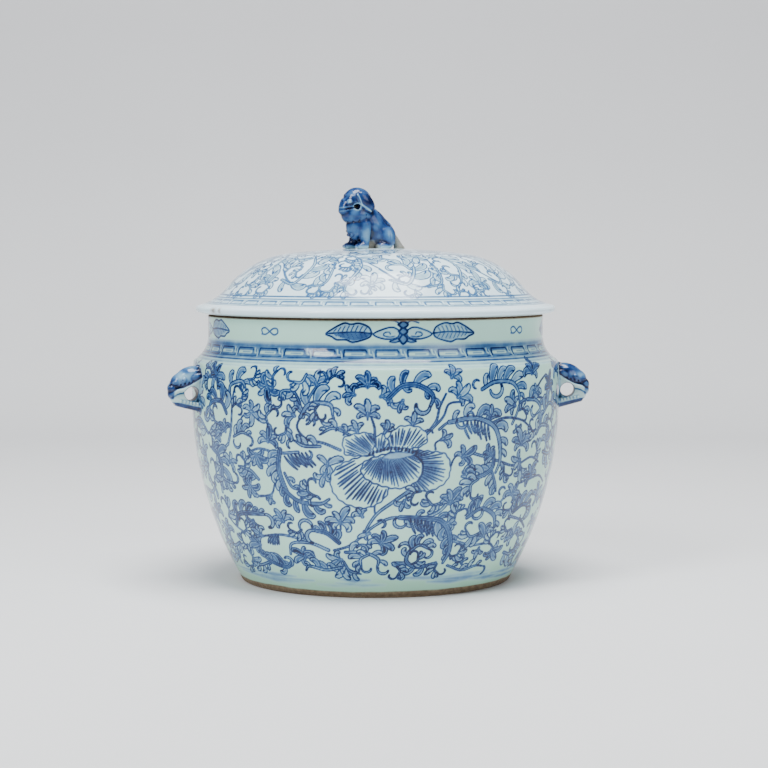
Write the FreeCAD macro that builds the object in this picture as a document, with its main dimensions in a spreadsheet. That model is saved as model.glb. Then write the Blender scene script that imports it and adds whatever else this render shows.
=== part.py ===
"""Covered porcelain rice bowl with a seated lion finial and two pierced animal-head handles.

The bowl stands on a turned foot ring at z = 0 and its axis is Z. The lid rests on the rim, and a
collar under it drops into the neck. The handles are moulded lugs luted to the shoulder, and the
lion is made of a body, a head, two ears and a tail luted together on the crown of the lid.
Everything is in millimetres and degrees. Driving sizes are cells of the sheet named Dims.
"""

import FreeCAD
import Part

import math
import os

import Sketcher
from FreeCAD import Rotation, Vector

# Each driving size: alias, value, and what it measures.
DIMENSIONS = [
    ("foot_radius", 86.4, "outside of the foot ring where it stands"),
    ("foot_height", 4.4, "height of the unglazed band of the foot"),
    ("foot_flare", 2.2, "how far the unglazed band widens upwards"),
    ("foot_ring_width", 6.0, "width of the ring that the bowl stands on"),
    ("foot_recess", 6.5, "depth of the recess inside the foot ring"),
    ("foot_edge_round", 0.8, "rounding of the foot ring's two edges"),
    ("base_wall", 6.5, "thickness of the floor of the bowl"),
    ("floor_corner_rise", 18.0, "height of the curve between floor and wall"),
    ("floor_corner_run", 26.5, "width of the curve between floor and wall"),
    ("belly_radius", 118.0, "outside of the bowl at its widest"),
    ("belly_below_rim", 52.0, "from the rim down to the widest level"),
    ("bowl_wall", 5.0, "thickness of the thrown wall"),
    ("shoulder_below_rim", 29.0, "from the rim down to the shoulder's corner"),
    ("shoulder_tuck", 1.0, "how far the shoulder stands in from the belly"),
    ("shoulder_round", 3.0, "rounding of the shoulder's corner"),
    ("shoulder_wall_drop", 4.5, "how much lower the shoulder is on the inside"),
    ("neck_inset", 10.5, "from the belly in to the neck, outside"),
    ("neck_sweep_height", 15.5, "height of the hollow curve into the neck"),
    ("rim_height", 170.0, "height of the bowl's rim"),
    ("rim_round", 1.2, "rounding of the rim's two edges"),
    ("seat_gap", 0.2, "clearance between the rim and the lid's seat"),
    ("collar_clearance", 1.5, "radial clearance of the lid's collar in the neck"),
    ("collar_height", 8.0, "height of the lid's collar"),
    ("collar_wall", 4.0, "thickness of the lid's collar"),
    ("lid_overhang", 7.9, "how far the lid's edge stands out over the neck"),
    ("lid_height", 41.8, "from the lid's seat to its crown"),
    ("lid_wall", 5.0, "thickness of the lid's dome"),
    ("flange_thickness", 4.6, "thickness of the lid's edge"),
    ("flange_lift", 1.2, "how far the lid's edge rises from its seat"),
    ("flange_width", 19.9, "from the lid's edge in to the foot of the dome"),
    ("flare_curve", 32.4, "radius of the hollow curve above the flange"),
    ("haunch_run", 38.5, "width of the strongly curved part of the dome"),
    ("haunch_fall", 21.8, "height of the strongly curved part of the dome"),
    ("haunch_curve", 57.3, "radius of the strongly curved part of the dome"),
    ("haunch_slope", 52.0, "slope of the dome where it meets the flare"),
    ("crown_drop", 3.4, "how far the flat crown falls towards the haunch"),
    ("collar_relief", 4.0, "height over the seat where the collar's bore ends"),
    ("handle_below_rim", 45.5, "from the rim down to the handles' centre"),
    ("left_handle_angle", 200.0, "left handle's place round the bowl"),
    ("right_handle_angle", 359.0, "right handle's place round the bowl"),
    ("handle_reach", 19.5, "how far a handle stands out from the belly"),
    ("handle_brow_height", 15.2, "from a handle's centre up to its brow"),
    ("handle_brow_reach", 3.0, "how far out the forehead's curve starts"),
    ("handle_brow_curve", 17.5, "radius of the forehead's curve"),
    ("handle_snout_drop", 1.5, "from a handle's centre down to the snout's tip"),
    ("handle_chin_drop", 10.4, "from a handle's centre down to the chin"),
    ("handle_chin_reach", 15.3, "how far out the chin is"),
    ("handle_root_drop", 16.6, "from a handle's centre down to its lower root"),
    ("handle_root_depth", 6.0, "how far the blank runs in behind the wall"),
    ("handle_width", 15.0, "width of a handle"),
    ("handle_round", 3.0, "rounding of a handle's edges"),
    ("handle_hole_radius", 4.4, "radius of the hole through a handle"),
    ("handle_hole_web", 0.8, "clay left between that hole and the wall"),
    ("handle_hole_drop", 2.8, "from a handle's middle down to its hole"),
    ("lion_turn", 26.0, "how far the lion faces away from the handles' line"),
    ("trunk_half_length", 15.0, "half length of the lion's trunk"),
    ("trunk_half_width", 7.8, "half width of the lion's trunk"),
    ("trunk_half_depth", 9.6, "half depth of the lion's trunk"),
    ("trunk_ahead", 2.6, "how far ahead of the lid's axis the trunk's middle is"),
    ("trunk_rise", 14.6, "height of the trunk's middle over the crown"),
    ("trunk_tilt", 50.0, "how steeply the lion sits"),
    ("foreleg_ahead", 11.6, "how far ahead of the axis the forelegs stand"),
    ("foreleg_apart", 11.4, "distance between the forelegs' axes"),
    ("foreleg_top", 17.0, "height of the forelegs' upper end"),
    ("foreleg_radius", 2.9, "radius of a foreleg at the paw"),
    ("foreleg_swell", 1.3, "how much thicker a foreleg is at the shoulder"),
    ("paw_half_length", 4.3, "half length of a paw"),
    ("paw_half_width", 3.3, "half width of a paw"),
    ("paw_half_height", 2.7, "half height of a paw"),
    ("thigh_half_length", 6.4, "half length of a thigh"),
    ("thigh_half_width", 4.0, "half width of a thigh"),
    ("thigh_half_height", 7.4, "half height of a thigh"),
    ("thigh_behind", 8.6, "how far behind the axis the thighs are"),
    ("thigh_apart", 11.0, "distance between the thighs' middles"),
    ("thigh_rise", 7.0, "height of the thighs' middles"),
    ("hind_paw_behind", 2.8, "how far behind the axis the hind paws are"),
    ("head_ahead", 11.6, "how far ahead of the axis the head is"),
    ("head_rise", 29.4, "height of the head's middle"),
    ("head_half_length", 9.0, "half length of the skull"),
    ("head_half_width", 7.8, "half width of the skull"),
    ("head_half_height", 8.7, "half height of the skull"),
    ("muzzle_ahead", 18.6, "how far ahead of the axis the muzzle is"),
    ("muzzle_rise", 27.2, "height of the muzzle's middle"),
    ("muzzle_half_length", 5.4, "half length of the muzzle"),
    ("muzzle_half_width", 5.8, "half width of the muzzle"),
    ("muzzle_half_height", 5.0, "half height of the muzzle"),
    ("mouth_bore_radius", 1.5, "radius of the hole pierced through the mouth's corners"),
    ("mouth_bore_ahead", 16.0, "how far ahead of the axis that hole is"),
    ("mouth_bore_rise", 26.6, "height of that hole"),
    ("ear_ahead", 9.8, "how far ahead of the axis the ears are"),
    ("ear_rise", 29.6, "height of the ears"),
    ("ear_half_width", 3.4, "half width of an ear flap"),
    ("ear_half_thickness", 1.9, "half thickness of an ear flap"),
    ("ear_half_length", 6.7, "half length of an ear flap"),
    ("ear_apart", 15.2, "distance between the two ear flaps"),
    ("ear_tilt", 42.0, "how far the ear flaps hang back"),
    ("tail_behind", 15.4, "how far behind the axis the tail's foot is"),
    ("tail_root_radius", 1.5, "radius of the tail's upper end"),
    ("tail_foot_radius", 3.0, "radius of the tail's foot"),
    ("tail_height", 13.0, "height of the tail"),
    ("tail_lean", 24.0, "how far the tail leans towards the rump"),
]

# Lengths that several outlines share, as expressions over the sheet.
NECK = "(Dims.belly_radius - Dims.neck_inset)"
BELLY_Z = "(Dims.rim_height - Dims.belly_below_rim)"
SHOULDER_X = "(Dims.belly_radius - Dims.shoulder_tuck)"
SHOULDER_Z = "(Dims.rim_height - Dims.shoulder_below_rim)"
NECK_Z = f"({SHOULDER_Z} + Dims.neck_sweep_height)"
FOOT_TOP = "(Dims.foot_radius + Dims.foot_flare)"
FOOT_INSIDE = "(Dims.foot_radius - Dims.foot_ring_width)"
FLOOR_Z = "(Dims.foot_recess + Dims.base_wall)"
SEAT_Z = "(Dims.rim_height + Dims.seat_gap)"
CROWN_Z = f"({SEAT_Z} + Dims.lid_height)"
CROWN_EDGE_Z = f"({CROWN_Z} - Dims.crown_drop)"
HAUNCH_Z = f"({CROWN_EDGE_Z} - Dims.haunch_fall)"
LID_EDGE = f"({NECK} + Dims.lid_overhang)"
FLANGE_END = f"({LID_EDGE} - Dims.flange_thickness / 2)"
FLANGE_UNDER_Z = f"({SEAT_Z} + Dims.flange_lift)"
FLANGE_Z = f"({FLANGE_UNDER_Z} + Dims.flange_thickness)"
FLANGE_MIDDLE_Z = f"({FLANGE_UNDER_Z} + Dims.flange_thickness / 2)"
HAUNCH_X = f"({LID_EDGE} - Dims.flange_width)"
CROWN_X = f"({HAUNCH_X} - Dims.haunch_run)"
COLLAR = f"({NECK} - Dims.bowl_wall - Dims.collar_clearance)"
HANDLE_Z = "(Dims.rim_height - Dims.handle_below_rim)"
HOLE_X = "(Dims.belly_radius + Dims.handle_hole_web + Dims.handle_hole_radius)"
HOLE_Z = f"({HANDLE_Z} - Dims.handle_hole_drop)"


def tangent_radius(run, rise):
    """Radius of an arc that leaves one end along `rise` and ends `run` to the side."""
    return f"(({run}) ^ 2 + ({rise}) ^ 2) / (2 * ({run}))"


WALL_CURVE = tangent_radius(f"Dims.belly_radius - {FOOT_TOP}", f"{BELLY_Z} - Dims.foot_height")
INNER_CURVE = f"({WALL_CURVE} - Dims.bowl_wall)"
CORNER_Z = f"({FLOOR_Z} + Dims.floor_corner_rise)"
CORNER_X = (
    f"(Dims.belly_radius - {WALL_CURVE} + sqrt({INNER_CURVE} ^ 2 - ({BELLY_Z} - {CORNER_Z}) ^ 2))"
)
CROWN_CURVE = tangent_radius("Dims.crown_drop", CROWN_X)
LIFT = 1.0  # an arc that bulges to the left of its outline's direction of travel
SINK = -1.0  # an arc that bulges to the right of it

doc = FreeCAD.newDocument("rice_bowl")


def make_sheet():
    """The spreadsheet of driving sizes: the note, the value and its alias, one row each."""
    sheet = doc.addObject("Spreadsheet::Sheet", "Dims")
    for row, (alias, value, note) in enumerate(DIMENSIONS, start=1):
        sheet.set(f"A{row}", note)
        sheet.set(f"B{row}", str(value))
        sheet.setAlias(f"B{row}", alias)
    doc.recompute()


def value_of(owner, expression):
    """What an expression is worth now, as a plain number."""
    return float(owner.evalExpression(str(expression)))


def bind(owner, **expressions):
    """Binds properties to expressions. A double underscore stands for a dot in a property's path."""
    for path, expression in expressions.items():
        owner.setExpression(path.replace("__", "."), str(expression))


def new_body(name):
    body = doc.addObject("PartDesign::Body", name)
    body.Label = name
    return body


def new_sketch(body, name, plane):
    """An empty sketch of this body on one of its own origin planes."""
    sketch = body.newObject("Sketcher::SketchObject", name)
    support = next(p for p in body.Origin.OriginFeatures if p.Role == plane)
    sketch.AttachmentSupport = [(support, "")]
    sketch.MapMode = "FlatFace"
    return sketch


def arc_between(start, end, radius, bulge):
    """The arc of this radius from start to end that bulges to one side of its chord."""
    chord = end - start
    half = chord.Length / 2
    side = Vector(-chord.y, chord.x, 0).normalize() * bulge
    sagitta = radius - math.sqrt(max(radius**2 - half**2, 0.0))
    return Part.Arc(start, start + chord / 2 + side * sagitta, end)


def place_point(sketch, geometry, position, name, x, y):
    """Holds one point of a sketch at x, y from the origin, both expressions."""
    for kind, label, expression, axis in (
        ("DistanceX", "x", x, -2),
        ("DistanceY", "y", y, -1),
    ):
        if str(expression) == "0":
            sketch.addConstraint(Sketcher.Constraint("PointOnObject", geometry, position, axis))
            continue
        amount = value_of(sketch, expression)
        index = sketch.addConstraint(
            Sketcher.Constraint(kind, -1, 1, geometry, position, amount)
        )
        sketch.renameConstraint(index, f"{name}_{label}")
        sketch.setExpression(f"Constraints.{name}_{label}", str(expression))


def hold_radius(sketch, geometry, name, expression):
    """Holds the radius of one arc or circle of a sketch at an expression."""
    index = sketch.addConstraint(
        Sketcher.Constraint("Radius", geometry, value_of(sketch, expression))
    )
    sketch.renameConstraint(index, f"{name}_radius")
    sketch.setExpression(f"Constraints.{name}_radius", str(expression))


def draw_outline(sketch, corners):
    """A closed outline through named corners.

    Each corner is (name, x, y) where a straight side leaves it, or (name, x, y, radius, bulge)
    where an arc does. Every corner is held by expressions, and so is every radius.
    """
    at = [Vector(value_of(sketch, c[1]), value_of(sketch, c[2]), 0) for c in corners]
    ends = []
    for i, corner in enumerate(corners):
        start, end = at[i], at[(i + 1) % len(at)]
        if len(corner) == 3:
            geometry = sketch.addGeometry(Part.LineSegment(start, end))
        else:
            radius = value_of(sketch, corner[3])
            geometry = sketch.addGeometry(arc_between(start, end, radius, corner[4]))
        first = sketch.getPoint(geometry, 1)
        forward = (first - start).Length < (first - end).Length
        ends.append((geometry, 1, 2) if forward else (geometry, 2, 1))
    for i, corner in enumerate(corners):
        geometry, here, there = ends[i]
        following, start_of_next, _ = ends[(i + 1) % len(ends)]
        sketch.addConstraint(
            Sketcher.Constraint("Coincident", geometry, there, following, start_of_next)
        )
        place_point(sketch, geometry, here, corner[0], corner[1], corner[2])
        if len(corner) > 3:
            hold_radius(sketch, geometry, corner[0], corner[3])


def revolve(body, sketch, name):
    feature = body.newObject("PartDesign::Revolution", name)
    feature.Profile = sketch
    feature.ReferenceAxis = (sketch, ["V_Axis"])
    feature.Angle = 360
    doc.recompute()
    return feature


def rings_at(feature, places):
    """The names of the circular edges about Z that lie at these (radius, height) places."""
    found = []
    for index, edge in enumerate(feature.Shape.Edges, start=1):
        if edge.Degenerated or not isinstance(edge.Curve, Part.Circle):
            continue
        curve = edge.Curve
        if abs(curve.Axis.z) < 0.999:
            continue
        centre = curve.Center
        near = any(
            abs(curve.Radius - r) < 1e-3 and abs(centre.z - z) < 1e-3 for r, z in places
        )
        if near and math.hypot(centre.x, centre.y) < 1e-3:
            found.append(f"Edge{index}")
    return found


def round_rings(body, feature, name, radius, places):
    """Rounds the rings at these (radius, height) places, given as expressions."""
    spots = [(value_of(feature, r), value_of(feature, z)) for r, z in places]
    fillet = body.newObject("PartDesign::Fillet", name)
    fillet.Base = (feature, rings_at(feature, spots))
    bind(fillet, Radius=f"Dims.{radius}")
    doc.recompute()
    return fillet


def wall_corners(to_axis):
    """The outside of the bowl from the foot up to the rim, which the bowl and its blank share."""
    return [
        ("foot_edge", "Dims.foot_radius", "0"),
        ("foot_top", FOOT_TOP, "Dims.foot_height", WALL_CURVE, SINK),
        (
            "belly",
            "Dims.belly_radius",
            BELLY_Z,
            tangent_radius("Dims.shoulder_tuck", f"{SHOULDER_Z} - {BELLY_Z}"),
            SINK,
        ),
        (
            "shoulder",
            SHOULDER_X,
            SHOULDER_Z,
            tangent_radius(f"{SHOULDER_X} - {NECK}", f"{NECK_Z} - {SHOULDER_Z}"),
            LIFT,
        ),
        ("neck", NECK, NECK_Z),
        ("rim_outside", NECK, "Dims.rim_height"),
    ] + to_axis


def make_bowl():
    """The thrown bowl: foot ring, belly, shoulder and neck in one piece of clay."""
    body = new_body("bowl")
    sketch = new_sketch(body, "bowl_profile", "XZ_Plane")
    inner_neck = f"({NECK} - Dims.bowl_wall)"
    inner_shoulder = f"({SHOULDER_X} - Dims.bowl_wall)"
    inner_shoulder_z = f"({SHOULDER_Z} - Dims.shoulder_wall_drop)"
    inside = [
        ("rim_inside", inner_neck, "Dims.rim_height"),
        (
            "neck_inside",
            inner_neck,
            NECK_Z,
            tangent_radius(f"{inner_shoulder} - {inner_neck}", f"{NECK_Z} - {inner_shoulder_z}"),
            SINK,
        ),
        (
            "shoulder_inside",
            inner_shoulder,
            inner_shoulder_z,
            tangent_radius("Dims.shoulder_tuck", f"{inner_shoulder_z} - {BELLY_Z}"),
            LIFT,
        ),
        ("belly_inside", "(Dims.belly_radius - Dims.bowl_wall)", BELLY_Z, INNER_CURVE, LIFT),
        (
            "corner",
            CORNER_X,
            CORNER_Z,
            tangent_radius("Dims.floor_corner_rise", "Dims.floor_corner_run"),
            LIFT,
        ),
        ("floor_edge", f"({CORNER_X} - Dims.floor_corner_run)", FLOOR_Z),
        ("floor_middle", "0", FLOOR_Z),
        ("recess_middle", "0", "Dims.foot_recess"),
        ("recess_edge", FOOT_INSIDE, "Dims.foot_recess"),
        ("ring_inside", FOOT_INSIDE, "0"),
    ]
    draw_outline(sketch, wall_corners(inside))
    turned = revolve(body, sketch, "turned_bowl")
    rim = round_rings(
        body,
        turned,
        "rim_rounding",
        "rim_round",
        [(NECK, "Dims.rim_height"), (inner_neck, "Dims.rim_height")],
    )
    foot = round_rings(
        body,
        rim,
        "foot_rounding",
        "foot_edge_round",
        [("Dims.foot_radius", "0"), (FOOT_INSIDE, "0")],
    )
    round_rings(body, foot, "shoulder_rounding", "shoulder_round", [(SHOULDER_X, SHOULDER_Z)])
    return body


def make_bowl_blank():
    """A solid plug with the bowl's outside, which shapes the roots of the handles."""
    body = new_body("bowl_blank")
    sketch = new_sketch(body, "blank_profile", "XZ_Plane")
    draw_outline(sketch, wall_corners([("axis_top", "0", "Dims.rim_height"), ("axis", "0", "0")]))
    revolve(body, sketch, "turned_blank")
    return body


def dome_corners():
    """The outside of the lid from the crown down to its seat, which the lid and its blank share."""
    return [
        ("crown", "0", CROWN_Z, CROWN_CURVE, LIFT),
        ("crown_edge", CROWN_X, CROWN_EDGE_Z, "Dims.haunch_curve", LIFT),
        ("haunch", HAUNCH_X, HAUNCH_Z, "Dims.flare_curve", SINK),
        ("flange_top", FLANGE_END, FLANGE_Z, "Dims.flange_thickness / 2", LIFT),
        ("flange_tip", LID_EDGE, FLANGE_MIDDLE_Z, "Dims.flange_thickness / 2", LIFT),
        ("flange_under", FLANGE_END, FLANGE_UNDER_Z),
        ("seat_edge", NECK, SEAT_Z),
    ]


def make_lid():
    """The thrown lid: dome, flange and the collar that drops into the neck."""
    body = new_body("lid")
    sketch = new_sketch(body, "lid_profile", "XZ_Plane")
    collar_inside = f"({COLLAR} - Dims.collar_wall)"
    collar_end = f"({SEAT_Z} - Dims.collar_height)"
    crown_sine = f"({CROWN_X} / ({CROWN_CURVE}))"
    inside = [
        ("collar_top", COLLAR, SEAT_Z),
        ("collar_foot", COLLAR, collar_end),
        ("collar_foot_inside", collar_inside, collar_end),
        ("collar_bore", collar_inside, f"({SEAT_Z} + Dims.collar_relief)"),
        (
            "haunch_inside",
            f"({HAUNCH_X} - Dims.lid_wall * sin(Dims.haunch_slope * 1deg))",
            f"({HAUNCH_Z} - Dims.lid_wall * cos(Dims.haunch_slope * 1deg))",
            "(Dims.haunch_curve - Dims.lid_wall)",
            SINK,
        ),
        (
            "crown_edge_inside",
            f"({CROWN_X} - Dims.lid_wall * {crown_sine})",
            f"({CROWN_EDGE_Z} - Dims.lid_wall * sqrt(1 - {crown_sine} ^ 2))",
            f"({CROWN_CURVE} - Dims.lid_wall)",
            SINK,
        ),
        ("crown_inside", "0", f"({CROWN_Z} - Dims.lid_wall)"),
    ]
    draw_outline(sketch, dome_corners() + inside)
    turned = revolve(body, sketch, "turned_lid")
    round_rings(
        body,
        turned,
        "collar_rounding",
        "rim_round",
        [(COLLAR, collar_end), (collar_inside, collar_end)],
    )
    return body


def make_lid_blank():
    """A solid plug with the lid's outside, which shapes the soles of the lion."""
    body = new_body("lid_blank")
    sketch = new_sketch(body, "lid_blank_profile", "XZ_Plane")
    draw_outline(sketch, dome_corners() + [("seat_axis", "0", SEAT_Z)])
    revolve(body, sketch, "turned_lid_blank")
    return body


def draw_handle_side(sketch, root):
    """The side view of an animal head whose neck runs in to `root`, behind the wall."""
    top = f"({HANDLE_Z} + Dims.handle_brow_height)"
    draw_outline(
        sketch,
        [
            ("root_top", root, top),
            (
                "brow",
                "(Dims.belly_radius + Dims.handle_brow_reach)",
                top,
                "Dims.handle_brow_curve",
                LIFT,
            ),
            (
                "snout",
                "(Dims.belly_radius + Dims.handle_reach)",
                f"({HANDLE_Z} - Dims.handle_snout_drop)",
            ),
            (
                "chin",
                "(Dims.belly_radius + Dims.handle_chin_reach)",
                f"({HANDLE_Z} - Dims.handle_chin_drop)",
            ),
            ("root_foot", root, f"({HANDLE_Z} - Dims.handle_root_drop)"),
        ],
    )


def edges_round_the_sides(pad, inner, half):
    """The names of a pad's edges that lie in its two side faces, in front of the root."""
    return [
        f"Edge{index}"
        for index, edge in enumerate(pad.Shape.Edges, start=1)
        if edge.BoundBox.XMax > inner + 0.1
        and abs(abs(edge.BoundBox.Center.y) - half) < 1e-3
        and edge.BoundBox.YLength < 1e-3
    ]


def pierce_handle(body, name):
    """The round hole through the corners of the animal's mouth."""
    sketch = new_sketch(body, f"{name}_hole_place", "XZ_Plane")
    centre = Vector(value_of(sketch, HOLE_X), value_of(sketch, HOLE_Z), 0)
    radius = value_of(sketch, "Dims.handle_hole_radius")
    circle = sketch.addGeometry(Part.Circle(centre, Vector(0, 0, 1), radius))
    place_point(sketch, circle, 3, "hole", HOLE_X, HOLE_Z)
    hold_radius(sketch, circle, "hole", "Dims.handle_hole_radius")
    doc.recompute()
    hole = body.newObject("PartDesign::Pocket", f"{name}_hole")
    hole.Profile = sketch
    hole.SideType = "Symmetric"
    hole.Type = "ThroughAll"
    doc.recompute()


def make_handle_blank(name):
    """One animal-head lug pointing along +X, still running in behind the bowl's wall."""
    body = new_body(f"{name}_blank")
    root = "(Dims.belly_radius - Dims.handle_root_depth)"
    sketch = new_sketch(body, f"{name}_side", "XZ_Plane")
    draw_handle_side(sketch, root)
    pad = body.newObject("PartDesign::Pad", f"{name}_pad")
    pad.Profile = sketch
    pad.SideType = "Symmetric"
    bind(pad, Length="Dims.handle_width")
    doc.recompute()
    half = value_of(pad, "Dims.handle_width") / 2
    fillet = body.newObject("PartDesign::Fillet", f"{name}_rounding")
    fillet.Base = (pad, edges_round_the_sides(pad, value_of(pad, root), half))
    bind(fillet, Radius="Dims.handle_round")
    pierce_handle(body, name)
    return body


def make_handle(name, angle, bowl_blank):
    """A handle cut to the bowl's outside and turned to its place round the bowl."""
    blank = make_handle_blank(name)
    handle = doc.addObject("Part::Cut", name)
    handle.Label = name
    handle.Base = blank
    handle.Tool = bowl_blank
    handle.Placement.Rotation = Rotation(Vector(0, 0, 1), value_of(handle, angle))
    bind(handle, Placement__Rotation__Angle=angle)
    return handle


def above_crown(rise):
    return f"({CROWN_Z} + {rise})"


def ellipsoid(name, along, across, up, x, y, z, tilt="0"):
    """An ellipsoid with half sizes along X, Y and Z, tilted about Y. All are expressions."""
    part = doc.addObject("Part::Ellipsoid", name)
    part.Angle1 = -90
    part.Angle2 = 90
    part.Angle3 = 360
    part.Placement.Rotation = Rotation(Vector(0, 1, 0), 1)
    bind(
        part,
        Radius1=up,
        Radius2=along,
        Radius3=across,
        Placement__Base__x=x,
        Placement__Base__y=y,
        Placement__Base__z=z,
        Placement__Rotation__Angle=tilt,
    )
    return part


def cone(name, lower, upper, height, x, y, z, tilt="0"):
    """A round bar from z upwards, tilted about Y. All are expressions."""
    part = doc.addObject("Part::Cone", name)
    part.Placement.Rotation = Rotation(Vector(0, 1, 0), 1)
    bind(
        part,
        Radius1=lower,
        Radius2=upper,
        Height=height,
        Placement__Base__x=x,
        Placement__Base__y=y,
        Placement__Base__z=z,
        Placement__Rotation__Angle=tilt,
    )
    return part


def fuse(name, parts):
    joined = doc.addObject("Part::MultiFuse", name)
    joined.Shapes = parts
    return joined


def cut(name, base, tool):
    result = doc.addObject("Part::Cut", name)
    result.Label = name
    result.Base = base
    result.Tool = tool
    return result


def turned_cut(name, base, tool):
    """A finished piece of the lion: cut to what it is luted on, then turned with the lion."""
    piece = cut(name, base, tool)
    piece.Placement.Rotation = Rotation(Vector(0, 0, 1), 1)
    bind(piece, Placement__Rotation__Angle="Dims.lion_turn")
    return piece


def make_lion_body_blank():
    """Trunk, forelegs, thighs and paws of the seated lion, before its soles are shaped."""
    parts = [
        ellipsoid(
            "trunk",
            "Dims.trunk_half_length",
            "Dims.trunk_half_width",
            "Dims.trunk_half_depth",
            "-Dims.trunk_ahead",
            "0",
            above_crown("Dims.trunk_rise"),
            "Dims.trunk_tilt",
        )
    ]
    for side, sign in (("left", "-1"), ("right", "1")):
        leg_y = f"({sign} * Dims.foreleg_apart / 2)"
        thigh_y = f"({sign} * Dims.thigh_apart / 2)"
        paws = (
            ("forepaw", "(-Dims.foreleg_ahead - Dims.paw_half_length / 3)", leg_y),
            ("hind_paw", "Dims.hind_paw_behind", thigh_y),
        )
        for paw, paw_x, paw_y in paws:
            parts.append(
                ellipsoid(
                    f"{side}_{paw}",
                    "Dims.paw_half_length",
                    "Dims.paw_half_width",
                    "Dims.paw_half_height",
                    paw_x,
                    paw_y,
                    above_crown("Dims.paw_half_height / 3"),
                )
            )
        parts.append(
            cone(
                f"{side}_foreleg",
                "Dims.foreleg_radius",
                "(Dims.foreleg_radius + Dims.foreleg_swell)",
                "(Dims.foreleg_top + Dims.paw_half_height)",
                "-Dims.foreleg_ahead",
                leg_y,
                above_crown("-Dims.paw_half_height"),
            )
        )
        parts.append(
            ellipsoid(
                f"{side}_thigh",
                "Dims.thigh_half_length",
                "Dims.thigh_half_width",
                "Dims.thigh_half_height",
                "Dims.thigh_behind",
                thigh_y,
                above_crown("Dims.thigh_rise"),
            )
        )
    return fuse("lion_body_blank", parts)


def make_lion_head_blank():
    """Skull and muzzle in one, pierced through the corners of the mouth."""
    skull = ellipsoid(
        "skull",
        "Dims.head_half_length",
        "Dims.head_half_width",
        "Dims.head_half_height",
        "-Dims.head_ahead",
        "0",
        above_crown("Dims.head_rise"),
    )
    muzzle = ellipsoid(
        "muzzle",
        "Dims.muzzle_half_length",
        "Dims.muzzle_half_width",
        "Dims.muzzle_half_height",
        "-Dims.muzzle_ahead",
        "0",
        above_crown("Dims.muzzle_rise"),
    )
    bore = doc.addObject("Part::Cylinder", "mouth_bore")
    bore.Placement.Rotation = Rotation(Vector(1, 0, 0), 90)
    bind(
        bore,
        Radius="Dims.mouth_bore_radius",
        Height="2 * Dims.head_half_width",
        Placement__Base__x="-Dims.mouth_bore_ahead",
        Placement__Base__y="Dims.head_half_width",
        Placement__Base__z=above_crown("Dims.mouth_bore_rise"),
    )
    return cut("lion_head_blank", fuse("uncut_head", [skull, muzzle]), bore)


def make_lion_ear(name, sign, seats):
    """One flap of clay hanging from the side of the head."""
    flap = ellipsoid(
        f"{name}_blank",
        "Dims.ear_half_width",
        "Dims.ear_half_thickness",
        "Dims.ear_half_length",
        "-Dims.ear_ahead",
        f"({sign} * Dims.ear_apart / 2)",
        above_crown("Dims.ear_rise"),
        "-Dims.ear_tilt",
    )
    return turned_cut(name, flap, seats)


def make_lion_tail(seats):
    """The tail, pulled down from the rump to the crown of the lid."""
    bar = cone(
        "tail_blank",
        "Dims.tail_foot_radius",
        "Dims.tail_root_radius",
        "Dims.tail_height",
        "Dims.tail_behind",
        "0",
        above_crown("-Dims.tail_root_radius"),
        "-Dims.tail_lean",
    )
    return turned_cut("lion_tail", bar, seats)


def make_lion(lid_blank):
    """The lion's five pieces, each cut to the ones that it is luted on."""
    body_blank = make_lion_body_blank()
    head_blank = make_lion_head_blank()
    ear_seats = fuse("ear_seats", [head_blank, body_blank])
    tail_seats = fuse("tail_seats", [body_blank, lid_blank])
    return [
        turned_cut("lion_body", body_blank, lid_blank),
        turned_cut("lion_head", head_blank, body_blank),
        make_lion_ear("lion_left_ear", "-1", ear_seats),
        make_lion_ear("lion_right_ear", "1", ear_seats),
        make_lion_tail(tail_seats),
    ]


def check_and_write(parts):
    """Stops on a failed object or a bad solid, then writes one STEP file for each sub-part."""
    for item in doc.Objects:
        if "Invalid" in item.State or "Error" in item.State:
            raise RuntimeError(f"{item.Label} failed: {item.State}")
    os.makedirs("parts", exist_ok=True)
    for part in parts:
        shape = part.Shape
        if shape.isNull() or not shape.isValid() or not shape.Solids:
            raise RuntimeError(f"{part.Label} is not a valid solid")
        shape.exportStep(f"parts/{part.Label}.step")
        box = shape.BoundBox
        print(
            f"{part.Label}: {len(shape.Solids)} solid, {shape.Volume / 1000:.2f} cm3, "
            f"x {box.XMin:.1f} to {box.XMax:.1f}, z {box.ZMin:.1f} to {box.ZMax:.1f}"
        )


def main():
    make_sheet()
    bowl = make_bowl()
    bowl_blank = make_bowl_blank()
    lid = make_lid()
    lid_blank = make_lid_blank()
    left_handle = make_handle("left_handle", "Dims.left_handle_angle", bowl_blank)
    right_handle = make_handle("right_handle", "Dims.right_handle_angle", bowl_blank)
    lion = make_lion(lid_blank)
    doc.recompute()
    check_and_write([bowl, left_handle, right_handle, lid, *lion])


main()
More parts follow.
